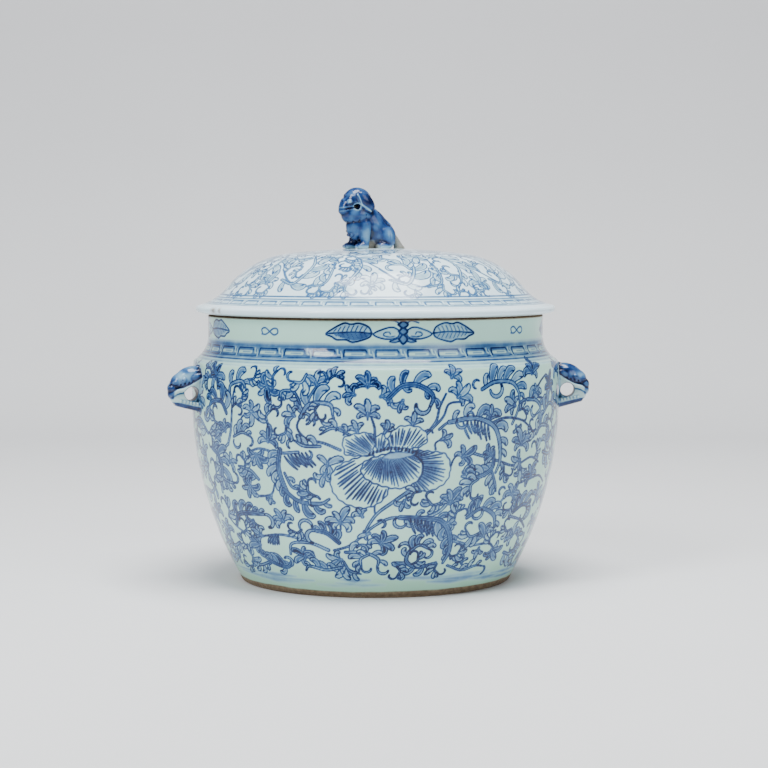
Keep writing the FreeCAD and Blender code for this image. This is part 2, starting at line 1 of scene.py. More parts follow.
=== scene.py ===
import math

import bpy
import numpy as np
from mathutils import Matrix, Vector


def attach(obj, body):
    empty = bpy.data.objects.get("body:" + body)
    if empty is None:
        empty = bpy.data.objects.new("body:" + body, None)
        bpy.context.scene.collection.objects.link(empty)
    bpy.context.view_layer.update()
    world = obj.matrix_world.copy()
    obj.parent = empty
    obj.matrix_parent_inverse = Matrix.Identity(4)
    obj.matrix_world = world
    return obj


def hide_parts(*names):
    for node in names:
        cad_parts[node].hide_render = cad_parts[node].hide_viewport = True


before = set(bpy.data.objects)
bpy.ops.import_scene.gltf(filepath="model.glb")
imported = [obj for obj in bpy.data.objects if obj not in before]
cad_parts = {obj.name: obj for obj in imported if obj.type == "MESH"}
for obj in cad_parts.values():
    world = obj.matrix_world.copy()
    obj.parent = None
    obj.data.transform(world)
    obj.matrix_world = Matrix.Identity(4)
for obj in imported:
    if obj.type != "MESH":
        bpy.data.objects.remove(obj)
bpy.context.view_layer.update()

# A covered porcelain rice bowl: a thrown bowl on a foot ring, a domed lid with a seated lion, and
# two pierced animal-head handles, all glazed over painting in cobalt. Lengths are millimetres
# until a mesh is made, and angles round the bowl are degrees from its front, to the right.

MM = 0.001

# ---- sizes, as the CAD model has them -----------------------------------------------------------

RIM_Z = 170.0
BELLY_R = 118.0
BELLY_Z = RIM_Z - 52.0
FOOT_R = 86.4
FOOT_TOP_R = 88.6
FOOT_Z = 4.4
FOOT_RING = 6.0
RECESS_Z = 6.5
WALL = 5.0
FLOOR_Z = RECESS_Z + 6.5
SHOULDER_R = BELLY_R - 1.0
SHOULDER_Z = RIM_Z - 29.0
NECK_R = BELLY_R - 10.5
NECK_Z = SHOULDER_Z + 15.5
CORNER_RUN = 26.5
CORNER_RISE = 18.0

SEAT_Z = RIM_Z + 0.2
CROWN_Z = SEAT_Z + 41.8
LID_R = NECK_R + 7.9
FLANGE = 4.6
FLANGE_LIFT = 1.2
DOME_R = LID_R - 19.9
CROWN_R = DOME_R - 38.5
CROWN_EDGE_Z = CROWN_Z - 3.4
HAUNCH_Z = CROWN_EDGE_Z - 21.8
HAUNCH_CURVE = 57.3
FLARE_CURVE = 32.4
COLLAR_R = NECK_R - WALL - 1.5
COLLAR_WALL = 4.0
COLLAR_H = 8.0
LID_WALL = 5.0

HANDLE_Z = RIM_Z - 45.5
HANDLES = {"left_handle": -70.0, "right_handle": 89.0}
HOLE_R = 4.4
HOLE_X = 0.8 + HOLE_R
HOLE_DROP = 2.8
LIP_X = [-1.0, 3.0, 6.7, 10.2, 14.4, 17.4]  # a handle's upper lip: out from the belly,
LIP_Z = [6.4, 3.7, 1.4, -0.2, -1.2, -3.4]  # and up from the handle's middle

# The lion in its own frame: it faces -x, and z is up from the crown.
LION_TURN = 26.0
MOUTH_X, MOUTH_Z = -16.0, 26.4  # the hole through the mouth's corners
MOUTH_R = 1.7
EAR_X = [-16.2, -13.6, -7.2]  # the bent edge of an ear
EAR_Z = [34.0, 27.4, 23.4]
# how softly each piece runs into the ones before it
LION_SEAMS = {"lion_head": 1.0, "lion_left_ear": 0.35, "lion_right_ear": 0.35, "lion_tail": 0.8}

GRID = 0.5  # spacing of a painted surface's rows
BOWL_COLUMNS = 1440
LID_COLUMNS = 1280
LID_CHIPS = [(300.0, 1.5), (304.0, 0.7), (168.0, 1.0)]  # degrees round the lid, and half width


# ---- outlines -----------------------------------------------------------------------------------

def tangent_radius(run, rise):
    """Radius of an arc that leaves one end along `rise` and ends `run` to the side."""
    return (run**2 + rise**2) / (2 * run)


def arc(start, end, radius, bulge, step):
    """Points along an arc that bulges to the left (1) or right (-1) of start to end."""
    a = np.array(start, float)
    b = np.array(end, float)
    chord = b - a
    half = np.hypot(*chord) / 2
    side = np.array([-chord[1], chord[0]]) / (2 * half) * bulge
    centre = (a + b) / 2 - side * math.sqrt(max(radius**2 - half**2, 0.0))
    first = math.atan2(*(a - centre)[::-1])
    last = math.atan2(*(b - centre)[::-1])
    turn = (last - first + math.pi) % (2 * math.pi) - math.pi
    count = max(int(abs(turn) * radius / step), 2)
    angles = first + turn * np.linspace(0, 1, count, endpoint=False)
    return centre + radius * np.column_stack([np.cos(angles), np.sin(angles)])


def outline(corners, step, soften=1.0):
    """An open outline through corners, each with an optional arc (radius, bulge) after it.

    Its points are `step` apart, and its corners are eased as glaze and a sponge ease them.
    """
    runs = []
    for here, after in zip(corners, corners[1:]):
        a = np.array(here[:2], float)
        b = np.array(after[:2], float)
        if len(here) > 2:
            runs.append(arc(a, b, here[2], here[3], 0.1))
        else:
            count = max(int(np.hypot(*(b - a)) / 0.1), 1)
            runs.append(a + (b - a) * np.linspace(0, 1, count, endpoint=False)[:, None])
    path = np.vstack(runs + [np.array([corners[-1][:2]], float)])
    reach = int(3 * soften / 0.1)
    weight = np.exp(-0.5 * (np.arange(-reach, reach + 1) * 0.1 / soften) ** 2)
    weight /= weight.sum()
    path = np.vstack([2 * path[0] - path[reach:0:-1], path, 2 * path[-1] - path[-2:-reach - 2:-1]])
    eased = np.column_stack([np.convolve(path[:, k], weight, "valid") for k in (0, 1)])
    run = np.r_[0.0, np.cumsum(np.hypot(*np.diff(eased, axis=0).T))]
    at = np.linspace(0, run[-1], int(run[-1] / step) + 1)
    return np.column_stack([np.interp(at, run, eased[:, k]) for k in (0, 1)])


def bowl_outlines():
    """The underside, the outside and the inside of the bowl, each from where the last one ended."""
    wall = tangent_radius(BELLY_R - FOOT_TOP_R, BELLY_Z - FOOT_Z)
    inner = wall - WALL
    corner_z = FLOOR_Z + CORNER_RISE
    corner_r = BELLY_R - wall + math.sqrt(inner**2 - (BELLY_Z - corner_z) ** 2)
    inside_r = FOOT_R - FOOT_RING
    under = [(0, RECESS_Z), (inside_r, RECESS_Z), (inside_r, 0), (FOOT_R - FOOT_RING / 2, 0)]
    shoulder_curve = tangent_radius(BELLY_R - SHOULDER_R, SHOULDER_Z - BELLY_Z)
    sweep = tangent_radius(SHOULDER_R - NECK_R, NECK_Z - SHOULDER_Z)
    inner_neck = NECK_R - WALL
    inner_shoulder_z = SHOULDER_Z - 4.5
    outside = [
        (FOOT_R - FOOT_RING / 2, 0),
        (FOOT_R, 0),
        (FOOT_TOP_R, FOOT_Z, wall, -1),
        (BELLY_R, BELLY_Z, shoulder_curve, -1),
        (SHOULDER_R, SHOULDER_Z, sweep, 1),
        (NECK_R, NECK_Z),
        (NECK_R, RIM_Z),
        (NECK_R - WALL / 2, RIM_Z),
    ]
    inside = [
        (NECK_R - WALL / 2, RIM_Z),
        (inner_neck, RIM_Z),
        (inner_neck, NECK_Z, tangent_radius(SHOULDER_R - NECK_R, NECK_Z - inner_shoulder_z), -1),
        (SHOULDER_R - WALL, inner_shoulder_z),
        (BELLY_R - WALL, BELLY_Z, inner, 1),
        (corner_r, corner_z, tangent_radius(CORNER_RISE, CORNER_RUN), 1),
        (corner_r - CORNER_RUN, FLOOR_Z),
        (0, FLOOR_Z),
    ]
    return outline(under, 2.0, 0.8), outline(outside, GRID, 0.9), outline(inside, 2.0, 1.0)


def lid_outlines():
    """The dome from the flange's tip to the crown, and the underside from the tip to the axis."""
    tip_z = SEAT_Z + FLANGE_LIFT + FLANGE / 2
    end_r = LID_R - FLANGE / 2
    crown_curve = tangent_radius(CROWN_Z - CROWN_EDGE_Z, CROWN_R)
    dome = [
        (LID_R, tip_z, FLANGE / 2, -1),
        (end_r, tip_z + FLANGE / 2, FLARE_CURVE, 1),
        (DOME_R, HAUNCH_Z, HAUNCH_CURVE, -1),
        (CROWN_R, CROWN_EDGE_Z, crown_curve, -1),
        (0, CROWN_Z),
    ]
    slope = math.radians(52.0)
    under = [
        (LID_R, tip_z, FLANGE / 2, 1),
        (end_r, tip_z - FLANGE / 2),
        (NECK_R, SEAT_Z),
        (COLLAR_R, SEAT_Z),
        (COLLAR_R, SEAT_Z - COLLAR_H),
        (COLLAR_R - COLLAR_WALL, SEAT_Z - COLLAR_H),
        (COLLAR_R - COLLAR_WALL, SEAT_Z + 4.0),
        (DOME_R - LID_WALL * math.sin(slope), HAUNCH_Z - LID_WALL * math.cos(slope),
         HAUNCH_CURVE - LID_WALL, -1),
        (CROWN_R, CROWN_EDGE_Z - LID_WALL, crown_curve - LID_WALL, -1),
        (0, CROWN_Z - LID_WALL),
    ]
    return outline(dome, GRID, 0.8), outline(under, 1.2, 0.5)


# ---- cobalt painting ----------------------------------------------------------------------------

LINE = 0.92  # width of a drawn outline, mm
DARK = 0.97  # ink of an outline
WASH = 0.33  # ink of the filling wash
PAINTED = 0.12  # ink from which a place counts as painted
GAP_CELL = 1.0  # mm, how finely unpainted gaps are looked for


def smooth(edge, soft):
    """1 inside an edge and 0 outside it, with a soft step `soft` wide."""
    return np.clip(0.5 - edge / soft, 0.0, 1.0)


def curve(points, steps=6):
    """A smooth line through given points (Catmull-Rom)."""
    p = np.asarray(points, float)
    ends = np.vstack([2 * p[0] - p[1], p, 2 * p[-1] - p[-2]])
    t = np.linspace(0, 1, steps, endpoint=False)[:, None]
    runs = [
        0.5 * (
            2 * b + (c - a) * t + (2 * a - 5 * b + 4 * c - d) * t**2 + (3 * b - a - 3 * c + d) * t**3
        )
        for a, b, c, d in zip(ends, ends[1:], ends[2:], ends[3:])
    ]
    return np.vstack(runs + [p[-1:]])


def resample(points, count):
    """The same line with evenly spaced points."""
    steps = np.hypot(*np.diff(points, axis=0).T)
    run = np.r_[0.0, np.cumsum(steps)]
    at = np.linspace(0, run[-1], count)
    return np.column_stack([np.interp(at, run, points[:, k]) for k in (0, 1)]), run[-1]


def headings(points):
    """The direction of a line at each of its points, in radians."""
    d = np.gradient(points, axis=0)
    return np.arctan2(d[:, 1], d[:, 0])


class Canvas:
    """Cobalt painted on a turned surface. Rows run up its outline and columns run round it.

    Strokes are placed by an anchor (degrees round, level), and drawn in mm from there.
    """

    def __init__(self, levels, radii, columns, seed):
        self.levels = levels  # what a height on this canvas is measured by, per row
        self.radii = radii  # radius of the surface at each row, mm
        self.order = np.argsort(levels)
        self.columns = columns
        self.ink = np.zeros((len(levels), columns))
        self.rng = np.random.default_rng(seed)
        self.turn = 0.0  # degrees that strokes are moved round by
        self.strength = 1.0
        self.line = LINE
        self.flood = 1.0  # how heavily leaves are washed inside

    def row_of(self, level):
        return np.interp(level, self.levels[self.order], self.order.astype(float))

    def radius_at(self, level):
        return np.interp(self.row_of(level), np.arange(len(self.radii)), self.radii)

    def local(self, anchor, points):
        """Points (degrees, level) as millimetres on the surface, from the anchor."""
        p = np.asarray(points, float)
        x = np.radians(p[:, 0] - anchor[0]) * self.radius_at(p[:, 1])
        y = (self.row_of(p[:, 1]) - self.row_of(anchor[1])) * GRID
        return np.column_stack([x, y])

    def window(self, anchor, low, high):
        """The part of the canvas round these local points, and each cell's place in mm."""
        row = float(self.row_of(anchor[1]))
        middle = row + (low[1] + high[1]) / 2 / GRID
        size = 2 * math.pi * np.interp(middle, np.arange(len(self.radii)), self.radii) / self.columns
        column = (anchor[0] + self.turn) / 360 * self.columns
        top = min(int(row + high[1] / GRID) + 3, len(self.radii))
        rows = np.arange(min(max(int(row + low[1] / GRID) - 1, 0), top), top)
        columns = np.arange(math.floor(column + low[0] / size) - 1, int(column + high[0] / size) + 3)
        place = np.ix_(rows, columns % self.columns)
        return place, (columns - column)[None, :] * size, (rows - row)[:, None] * GRID

    def chain(self, anchor, points, radii):
        """Distance from each cell to a line of varying radius, and where along the line it is."""
        r = np.broadcast_to(np.asarray(radii, float), (len(points),))
        reach = r.max() + 2
        place, gx, gy = self.window(anchor, points.min(0) - reach, points.max(0) + reach)
        best = np.full((gy.shape[0], gx.shape[1]), 1e9)
        along = np.zeros_like(best)
        for i, (a, b) in enumerate(zip(points, points[1:])):
            d = b - a
            t = np.clip(((gx - a[0]) * d[0] + (gy - a[1]) * d[1]) / max(d @ d, 1e-9), 0, 1)
            gap = np.hypot(gx - a[0] - t * d[0], gy - a[1] - t * d[1]) - r[i] - t * (r[i + 1] - r[i])
            nearer = gap < best
            best = np.where(nearer, gap, best)
            along = np.where(nearer, (i + t) / (len(points) - 1), along)
        return place, best, along

    def stroke(self, anchor, points, widths, ink=DARK, soft=0.5):
        """A brush line. Its width may change along the line."""
        place, gap, _ = self.chain(anchor, np.asarray(points, float), np.asarray(widths, float) / 2)
        mark = smooth(gap, soft) * ink * self.strength
        self.ink[place] = np.maximum(self.ink[place], mark)

    def wipe(self, anchor, points, widths, keep=0.1, soft=0.6):
        """A line where most of the paint is lifted off again."""
        place, gap, _ = self.chain(anchor, np.asarray(points, float), np.asarray(widths, float) / 2)
        self.ink[place] *= 1 - smooth(gap, soft) * (1 - keep)

    def shape(self, anchor, points, radii, wash=WASH, ink=DARK, rim=0.35, base=0.22):
        """A leaf or stem: outlined, washed inside with a pale rim, darker towards its base."""
        place, gap, along = self.chain(anchor, points, radii)
        line = self.line
        inside = smooth(gap, 0.5)
        fill = smooth(gap + line + rim, 0.7) * (wash + base * (1 - along) ** 2) * self.flood + 0.06
        edge = smooth(np.abs(gap + line / 2) - line / 2, 0.45) * ink
        mark = np.maximum(fill, edge) * self.strength
        self.ink[place] = self.ink[place] * (1 - inside) + mark * inside

    def patch(self, anchor, loop, line, edge=DARK):
        """A closed outline laid over what is there. Gives its cells, their depth and their place."""
        place, gx, gy = self.window(anchor, loop.min(0) - 2, loop.max(0) + 2)
        inside = np.zeros((gy.shape[0], gx.shape[1]), bool)
        gap = np.full(inside.shape, 1e9)
        for a, b in zip(loop, loop[1:]):
            d = b - a
            if abs(d[1]) > 1e-12:
                crosses = (a[1] > gy) != (b[1] > gy)
                inside ^= crosses & (gx < d[0] * (gy - a[1]) / d[1] + a[0])
            t = np.clip(((gx - a[0]) * d[0] + (gy - a[1]) * d[1]) / max(d @ d, 1e-9), 0, 1)
            gap = np.minimum(gap, np.hypot(gx - a[0] - t * d[0], gy - a[1] - t * d[1]))
        signed = np.where(inside, -gap, gap)
        body = smooth(signed, 0.5)
        self.ink[place] *= 1 - body
        self.stroke(anchor, loop, line, edge)
        return place, signed, body, (gx, gy)

    def tint(self, anchor, outline, wash, line=0.8, edge=DARK):
        """A closed shape with an even wash."""
        loop = curve(np.vstack([outline, outline[:1]]), 5)
        place, _, body, _ = self.patch(anchor, loop, line, edge)
        self.ink[place] = np.maximum(self.ink[place], body * wash * self.strength)

    # ---- leaves -------------------------------------------------------------------------------

    def jitter(self, amount):
        return 1.0 + amount * self.rng.uniform(-1, 1)

    def lobe(self, anchor, base, heading, length, width, curl, wash):
        """One hooked finger of a leaf."""
        t = np.linspace(0, 1, 9)
        turn = heading - 0.3 * curl + 1.9 * curl * t**2
        steps = np.column_stack([np.cos(turn), np.sin(turn)]) * length / 8
        points = base + np.vstack([[0, 0], np.cumsum(steps[:-1], axis=0)])
        radii = width / 2 * np.interp(t, [0, 0.35, 0.7, 0.9, 1], [0.5, 0.85, 1.0, 0.8, 0.5])
        self.shape(anchor, points, radii, wash * self.jitter(0.5))
        inner = np.array([-math.sin(turn[-1]), math.cos(turn[-1])]) * np.sign(curl or 1) * width / 5
        self.stroke(anchor, points[-3:] + inner, [0.4, 0.9, 1.3])

    def leaf(self, anchor, knots, side, lobes, size, width, hook, wash, inner=0):
        """A curving leaf: a washed spine with fingers on its outer side and a hooked end."""
        line, _ = resample(curve(knots), 40)
        heading = headings(line)
        for n in range(lobes):
            t = (n + 0.6) / (lobes + 0.4)
            i = int(t * 39)
            grow = (0.6 + 0.5 * math.sin(math.pi * min(1, t + 0.12))) * self.jitter(0.2)
            both = inner and n % 2 == inner % 2
            for s in (side, -side) if both else (side,):
                reach = size * grow * (1.0 if s == side else 0.65)
                lean = math.radians(62 - 22 * t) * self.jitter(0.12)
                bend = -s * 0.85 * self.jitter(0.5)
                turn = heading[i] + s * lean
                self.lobe(anchor, line[i], turn, reach, reach * 0.46 + 0.9, bend, wash)
        taper = width / 2 * np.linspace(0.75, 1.0, 40) ** 0.5
        taper[28:] *= np.linspace(1, 0.6, 12)
        self.shape(anchor, line, taper, wash * 1.2, rim=0.1)
        if hook:
            self.curl(anchor, line[-1], heading[-1], -side * hook, width * 1.9, width * 0.8)

    def frond(self, knots, side, lobes, size, width, hook, wash=WASH, inner=0):
        """A leaf along a line of (degrees, level)."""
        line = self.local(knots[0], knots)
        fewer = math.ceil(0.8 * lobes)
        self.leaf(knots[0], line, side, fewer, 1.2 * size, 1.2 * width, hook, wash, inner)

    def curl(self, anchor, base, heading, bend, size, width):
        """A hook that rolls in on itself and ends in a dark bead."""
        t = np.linspace(0, 1, 12)
        turn = heading + bend * 3.6 * t**0.85
        stride = (size * 1.9 / 11) * (1.25 - 0.6 * t)[:, None]
        steps = np.column_stack([np.cos(turn), np.sin(turn)]) * stride
        points = base + np.vstack([[0, 0], np.cumsum(steps[:-1], axis=0)])
        radii = width / 2 * (0.75 + 0.35 * np.sin(math.pi * t))
        self.shape(anchor, points, radii, rim=0.2)
        self.stroke(anchor, points[-2:], [width * 0.7, width * 0.6])

    def hook(self, place, heading, bend, size, width=1.9):
        """A free-standing hook."""
        self.curl(place, np.zeros(2), math.radians(heading), bend, size, width)

    def sprig(self, place, heading, petals, size, spread, stem=0.0, wash=WASH):
        """A hand of petals spreading from one point."""
        h = math.radians(heading)
        ahead = np.array([math.cos(h), math.sin(h)])
        if stem:
            self.shape(place, np.array([-ahead * stem, [0, 0]]), [0.6, 0.8], wash, rim=0.1)
        for n in sorted(range(petals), key=lambda n: -abs(n - (petals - 1) / 2)):
            f = n / max(petals - 1, 1) - 0.5
            a = h + math.radians(spread) * f
            reach = 1.12 * size * (1 - 0.25 * abs(f)) * self.jitter(0.2)
            bend = (0.25 + 1.9 * abs(f)) * np.sign(f + 1e-6) * self.jitter(0.3)
            self.lobe(place, np.zeros(2), a, reach, reach * 0.46 + 0.8, bend, wash * 1.1)
        heart = np.array([-0.6 * ahead, 1.4 * ahead])
        self.shape(place, heart, [1.3, 1.0], wash + 0.25, 0.8 * DARK, 0.1)

    def stem(self, knots, width, wash=0.35):
        """A washed stalk between two lines."""
        line, _ = resample(curve(self.local(knots[0], knots)), 30)
        self.shape(knots[0], line, width / 1.5 * np.linspace(1, 0.7, 30), wash, 0.9, 0.1, 0.0)

    def fingers(self, knots, side, count, size, lean):
        """A row of narrow parallel loops hanging from a spine, like combed hair."""
        line, _ = resample(curve(self.local(knots[0], knots)), 40)
        heading = headings(line)
        t = np.linspace(0, 1, 5)[:, None]
        for n in range(count):
            i = int(39 * (n + 0.5) / count)
            a = heading[i] + side * math.radians(lean)
            reach = size * self.jitter(0.2)
            out = np.array([math.cos(a), math.sin(a)])
            bend = np.array([math.cos(heading[i]), math.sin(heading[i])]) * 0.25
            points = line[i] + reach * (out * t + bend * t**2)
            self.shape(knots[0], points, [0.7, 0.95, 1.05, 1.0, 0.7], 0.16, rim=0.1)

    # ---- gaps ---------------------------------------------------------------------------------

    def gap_map(self, low, high):
        """Distance in mm from any paint, on a coarse grid between two levels."""
        tall = int(GAP_CELL / GRID)
        rows = np.arange(*sorted((int(self.row_of(low)), int(self.row_of(high)))), tall)
        size = 2 * math.pi * self.radii[rows].mean() / self.columns
        step = max(round(GAP_CELL / size), 1)
        blocks = self.ink[rows[0]:rows[-1] + tall, :self.columns // step * step]
        blocks = blocks.reshape(len(rows), -1, blocks.shape[1] // step, step).max(axis=(1, 3))
        full = np.pad(blocks > PAINTED, ((1, 1), (0, 0)), constant_values=True)
        depth = np.zeros(full.shape)
        for n in range(14):
            depth += ~full
            side = np.roll(full, 1, axis=1) | np.roll(full, -1, axis=1)
            base = full | side if n % 2 else full
            grown = base | side
            grown[1:] |= base[:-1]
            grown[:-1] |= base[1:]
            full = grown
        return depth[1:-1] * GAP_CELL, rows, step

    def fill_gaps(self, low, high, least, most=8.0):
        """Small leaves that grow from the painted ones into the widest gaps, until none is left."""
        for _ in range(600):
            depth, rows, step = self.gap_map(low, high)
            room = depth.max()
            if room < least:
                return
            ties = np.argwhere(depth >= room - GAP_CELL)
            i, j = ties[self.rng.integers(len(ties))]
            angle = (j + 0.5) * step / self.columns * 360
            place = (angle - self.turn, self.levels[rows[i]])
            self.fill_gap(place, min(room, most), self.nearest_paint(depth, i, j))

    def nearest_paint(self, depth, i, j):
        """Direction, in radians, from a cell of a gap map to the nearest paint."""
        best, found = 1e9, 0.0
        for a in self.rng.permutation(16) * math.pi / 8:
            for reach in range(1, 16):
                row = i + round(reach * math.sin(a))
                column = (j + round(reach * math.cos(a))) % depth.shape[1]
                if not 0 <= row < len(depth) or depth[row, column] == 0:
                    break
            if reach < best and 0 <= row < len(depth):
                best, found = reach, a
        return found

    def fill_gap(self, place, room, toward):
        """One small leaf across a gap, from the paint beside it."""
        away = toward + math.pi
        ahead = np.array([math.cos(away), math.sin(away)])
        way = int(self.rng.choice((-1, 1)))
        side = np.array([-ahead[1], ahead[0]]) * way
        start = -ahead * room
        wash = WASH * self.jitter(0.4)
        knots = np.array([start, start * 0.3 + side * room * 0.45, ahead * room * 0.5 + side * 0.3])
        lobes = 2 + int(room > 3.0) + int(room > 4.5)
        self.leaf(place, knots, way, lobes, room * 0.95 + 0.6, 1.1 + room * 0.2, 0.9, wash)

    # ---- flowers ------------------------------------------------------------------------------

    def petal(self, outline, focus, wash=0.35, hatch=1.5, near=0.15, far=0.85, deep=0.5,
              line=0.6, weight=0.75, edge=0.85):
        """A large petal: outlined, shaded from a focus and hatched with lines that leave it."""
        loop, length = resample(curve(self.local(focus, outline + outline[:1]), 8), 120)
        frill = 0.3 * np.sin(2 * math.pi * round(length / 5.5) * np.linspace(0, 1, 120))
        turned_out = np.gradient(loop, axis=0)[:, ::-1] * (1, -1)
        loop = loop + turned_out / np.maximum(np.hypot(*turned_out.T), 1e-9)[:, None] * frill[:, None]
        loop[-1] = loop[0]
        place, signed, body, (gx, gy) = self.patch(focus, loop, line, edge)
        depth = -signed / np.maximum(np.hypot(gx, gy) - signed, 1e-6)
        share = np.clip(1 - depth, 0, 1)
        tone = (wash + deep * (1 - share) ** 1.5) * np.clip((far - share) / 0.18, 0, 1)
        self.ink[place] = np.maximum(self.ink[place], tone * body * self.strength)
        angles = np.unwrap(np.arctan2(loop[:, 1], loop[:, 0]))
        mean = np.median(np.hypot(*loop.T))
        count = max(int(abs(angles.max() - angles.min()) * mean / hatch), 3)
        along = np.linspace(0, 1, 5)[:, None]
        for a in np.linspace(angles.min(), angles.max(), count + 2)[1:-1]:
            a = a + self.rng.uniform(-0.3, 0.3) * hatch / mean
            d = np.array([math.cos(a), math.sin(a)])
            side = loop @ np.array([-d[1], d[0]])
            ahead = loop @ d
            cross = np.flatnonzero(side[:-1] * side[1:] < 0)
            hits = ahead[cross] + np.diff(ahead)[cross] * side[cross] / (side[cross] - side[cross + 1])
            hits = hits[hits > 0.3]
            if not len(hits):
                continue
            start, end = (hits.min(), hits.max()) if len(hits) > 1 else (0.0, hits[0])
            end = start + (end - start) * far * self.jitter(0.1)
            start = start + (end - start) * near * self.jitter(0.3)
            if end - start > 1.0:
                points = (start + (end - start) * along) * d
                self.stroke(focus, points, np.array([0.5, 0.8, 1.0, 1.1, 0.7]) * weight, 0.9)


def panel(c):
    """One side of the bowl: a peony in a net of scrolling leaves. Degrees round, mm up."""
    f, s, h, st, fi = c.frond, c.sprig, c.hook, c.stem, c.fingers
    # stalks first, so that leaves and flowers lie over them
    st([(24, 62), (20, 54), (13, 51), (6, 52), (0, 47), (-5, 40), (-10, 34), (-16, 31)], 2.0)
    st([(11, 69), (6, 62), (1, 55), (-2, 48), (-4, 42)], 2.2, wash=0.55)
    st([(1, 72), (0, 60), (0, 55)], 1.4)
    st([(-10, 93), (-15, 97), (-20, 99), (-23, 106), (-21, 115)], 1.6)
    st([(-21, 112), (-19, 124), (-16, 133), (-14, 138)], 1.8)
    st([(0, 98), (0, 106), (-1, 113), (-2, 120)], 1.5)
    st([(15, 102), (18, 110), (19, 118), (21, 126)], 1.7)
    st([(15, 102), (20, 112), (22, 120), (27, 121)], 1.5)
    st([(19, 105), (22, 109), (28, 110)], 1.6)
    st([(18, 93), (18, 97), (21, 100)], 1.2)
    st([(23, 82), (24, 87), (26, 91)], 1.2)
    st([(-10, 86), (-13, 88), (-14, 84)], 1.3)
    st([(-23, 91), (-30, 90), (-36, 92), (-40, 90)], 1.8)
    st([(-41, 62), (-34, 64), (-32, 71)], 1.5)
    st([(-16, 31), (-22, 35), (-29, 34), (-31, 27)], 2.2)
    st([(-22, 36), (-32, 39), (-41, 37)], 1.8)
    st([(-50, 93), (-48, 103), (-47, 120), (-46, 128)], 1.8)
    st([(-50, 93), (-53, 90), (-59, 89)], 1.8)
    st([(-45, 100), (-43, 110), (-40, 113)], 1.4)
    st([(-58, 62), (-57, 72), (-54, 82), (-50, 84)], 2.2)
    st([(-41, 37), (-47, 36), (-54, 40), (-58, 46)], 1.7)
    st([(30, 90), (40, 84), (48, 80), (56, 84), (62, 80)], 1.7)
    st([(45, 106), (47, 112), (49, 119), (56, 121), (61, 120)], 1.8)
    st([(36, 107), (42, 110), (49, 108), (53, 104)], 1.6)
    st([(44, 42), (43, 52), (45, 60), (49, 62)], 1.8)
    st([(27, 36), (35, 32), (43, 32), (47, 28)], 1.8)
    st([(50, 68), (57, 70), (64, 71), (70, 66)], 1.6)
    st([(55, 122), (60, 130), (64, 134)], 1.5)
    st([(50, 48), (58, 44), (64, 38)], 1.7)
    # top row
    s((-2, 131), 90, 5, 8.5, 170, wash=0.7)
    s((-6, 126), 160, 4, 7.5, 150, wash=0.65)
    s((2, 125), 20, 3, 7, 110, wash=0.6)
    s((-2, 114), 90, 5, 8, 190, stem=3)
    f([(4, 124), (8, 131), (13, 131), (17, 125), (16, 118)], 1, 6, 8.5, 3.2, 0.9, wash=0.55, inner=1)
    s((8, 122), 250, 3, 7, 90, wash=0.6)
    s((23, 136), 60, 4, 7, 150, wash=0.45)
    s((25, 124), 40, 5, 8, 190)
    s((11, 108), 80, 3, 6, 100)
    s((20, 99), 20, 3, 7, 110, stem=2)
    h((17, 103), 120, 1, 5)
    f([(-22, 112), (-19, 120), (-13, 120), (-12, 113)], 1, 6, 8.5, 2.8, 0.9)
    s((-17, 132), 110, 4, 8, 170)
    h((-15, 133), 30, 1, 6)
    f([(-22, 120), (-24, 127), (-28, 127), (-28, 121)], 1, 4, 6, 2.0, 0.8)
    s((-24, 113), 150, 4, 8, 150)
    h((-20, 108), 20, 1, 6, 2.2)
    h((-20, 110), 60, -1, 5)
    s((-33, 130), 250, 6, 8.5, 260, wash=0.55)
    f([(-31, 128), (-31, 136), (-29, 140)], 1, 3, 5, 1.8, 0.9)
    f([(-48, 121), (-48, 129), (-43, 132), (-41, 127)], 1, 5, 8, 2.6, 0.8)
    s((-39, 114), 0, 6, 8, 300)
    s((-56, 134), 90, 6, 9, 300, wash=0.65)
    f([(-50, 112), (-53, 119), (-59, 117), (-60, 110)], -1, 6, 9, 3.0, -0.9, wash=0.5)
    s((-51, 101), 120, 4, 7, 150, wash=0.5)
    f([(-47, 98), (-43, 101), (-40, 99)], 1, 4, 6, 2.0, 0.8)
    h((-47, 96), 250, 1, 6)
    s((-68, 126), 90, 5, 9, 220, wash=0.5)
    f([(-62, 98), (-68, 106), (-74, 104)], 1, 5, 8, 2.6, 0.9)
    f([(33, 128), (38, 132), (45, 131), (48, 124), (48, 119)], 1, 8, 9, 2.8, 0)
    h((36, 127), 290, 1, 9, 3.0)
    s((46, 117), 150, 5, 8, 170)
    h((32, 133), 150, 1, 5)
    s((55, 136), 80, 5, 9, 190, wash=0.55)
    f([(52, 120), (57, 119), (60, 114), (57, 110)], 1, 5, 8, 2.6, 0.9)
    s((56, 124), 30, 3, 6, 80)
    s((67, 126), 100, 6, 9, 260, wash=0.5)
    f([(62, 110), (67, 116), (73, 112)], 1, 5, 8, 2.4, -0.9)
